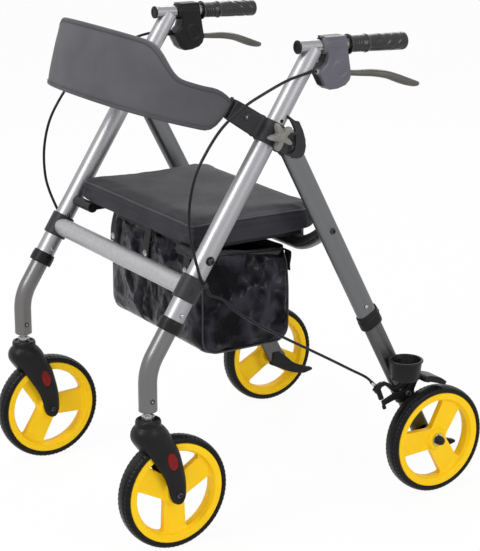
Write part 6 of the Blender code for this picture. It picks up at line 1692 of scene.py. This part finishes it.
def addBag():
    look, body, outer = bagLook, "front_frame", bagSkin()
    bag = addPiece("bagShell", bagShape(outer), "bagNylon", body, "bag", sharp=70)
    skin = skinOf(bag.data)
    rim = [place.lerp(bagMiddle + up * place.z, 0.002) for place in outer[-1]]
    hem = []
    for i, place in enumerate(rim):
        normal = (rim[(i + 1) % len(rim)] - rim[i - 1]).normalized().cross(up).normalized()
        hem.append([place + normal * b + up * (a - 0.0092) for a, b in oval(0.0088, 0.0015, 4.0, 20)])
    seam = [place + (level(place.x, place.y) - bagMiddle).normalized() * 0.0009 - up * 0.0028
            for place in outer[-6]]
    stitches = threadStitches(seam, [(level(place.x, place.y) - bagMiddle).normalized() for place in seam],
                              0.005, 0.003)
    straps, snaps = bagStraps(skin)
    pieces = [addPiece("bagHem", loft(hem, closed=True), "webbing", body, sharp=70),
              addPiece("bagWelts", bagWelts(skin), "pipingCloth", body, sharp=80),
              addPiece("bagHemStitches", stitches, "thread", body, sharp=80, slotName="bag_nylon"),
              addPiece("bagStraps", straps, "webbing", body, sharp=50),
              addPiece("bagSnaps", snaps, "zincSteel", body)]
    for piece in [bag] + pieces:
        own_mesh(piece)


addBackrest()
addBag()
print("backrest and bag sewn")


# Studio: pale floor, soft lights, plain pale background
stageLook = {"floor": 14.0, "count": 24, "world": 0.56, "paleness": 0.95,
             "floorLook": {"Base Color": (0.90, 0.90, 0.90, 1), "Roughness": 0.85,
                          "Specular IOR Level": 0.15},
             "lights": (("keyLight", (0.5, -3.0, 2.8), (0.0, 0.0, 0.45), 1.3, 1.3, 62.0),
                        ("sideLight", (3.2, 0.9, 1.8), (0.0, 0.0, 0.5), 0.6, 2.2, 30.0),
                        ("rimLight", (-2.2, 2.0, 2.4), (0.0, 0.0, 0.5), 1.4, 1.6, 18.0),
                        ("topLight", (-0.3, -1.0, 3.2), (0.0, 0.0, 0.2), 0.8, 0.8, 20.0))}


def seenPlain(tree, shader, plainKind, out, share=1.0):
    # Plain white wherever the camera looks straight, in a mirror or through glass
    path = setUp(tree, "LightPath", output=None)
    seen = reckon(tree, "MAXIMUM", path["Is Camera Ray"],
                  reckon(tree, "MAXIMUM", path["Is Glossy Ray"], path["Is Transmission Ray"]))
    plain = setUp(tree, plainKind, {"Color": (1, 1, 1, 1), "Strength": 1.0})
    fill(tree, out, {"Surface": setUp(tree, "MixShader", {0: times(tree, seen, share), 1: shader, 2: plain})})


def addStage():
    size, count = stageLook["floor"], stageLook["count"]
    row = count + 1
    verts = [(size * (i / count - 0.5), size * (j / count - 0.5), 0.0)
             for j in range(row) for i in range(row)]
    quads = [(j * row + i, j * row + i + 1, (j + 1) * row + i + 1, (j + 1) * row + i)
             for j in range(count) for i in range(count)]
    mesh = bpy.data.meshes.new("floor")
    mesh.from_pydata(verts, [], quads)
    mesh.materials.append(floorFinish())
    linked("floor", mesh)

    world = bpy.data.worlds.new("studio")
    bpy.context.scene.world = world
    world.use_nodes = True
    tree = world.node_tree
    tree.nodes.clear()
    light = setUp(tree, "Background", {"Color": (1, 1, 1, 1), "Strength": stageLook["world"]})
    seenPlain(tree, light, "Background", tree.nodes.new("ShaderNodeOutputWorld"))
    for name, place, target, width, tall, power in stageLook["lights"]:
        lamp = bpy.data.lights.new(name, "AREA")
        lamp.shape, lamp.size, lamp.size_y, lamp.energy = "RECTANGLE", width, tall, power
        item = linked(name, lamp)
        item.location = place
        item.rotation_euler = (Vector(target) - Vector(place)).to_track_quat("-Z", "Y").to_euler()


def floorFinish():
    # White to the camera except where the object shades it
    material = bpy.data.materials.new("paleFloor")
    material.use_nodes = True
    tree = material.node_tree
    shader = tree.nodes["Principled BSDF"]
    fill(tree, shader, stageLook["floorLook"])
    seenPlain(tree, shader.outputs[0], "Emission", tree.nodes["Material Output"], stageLook["paleness"])
    return material


addStage()
bpy.context.scene.view_settings.view_transform = "Standard"
print("studio set")
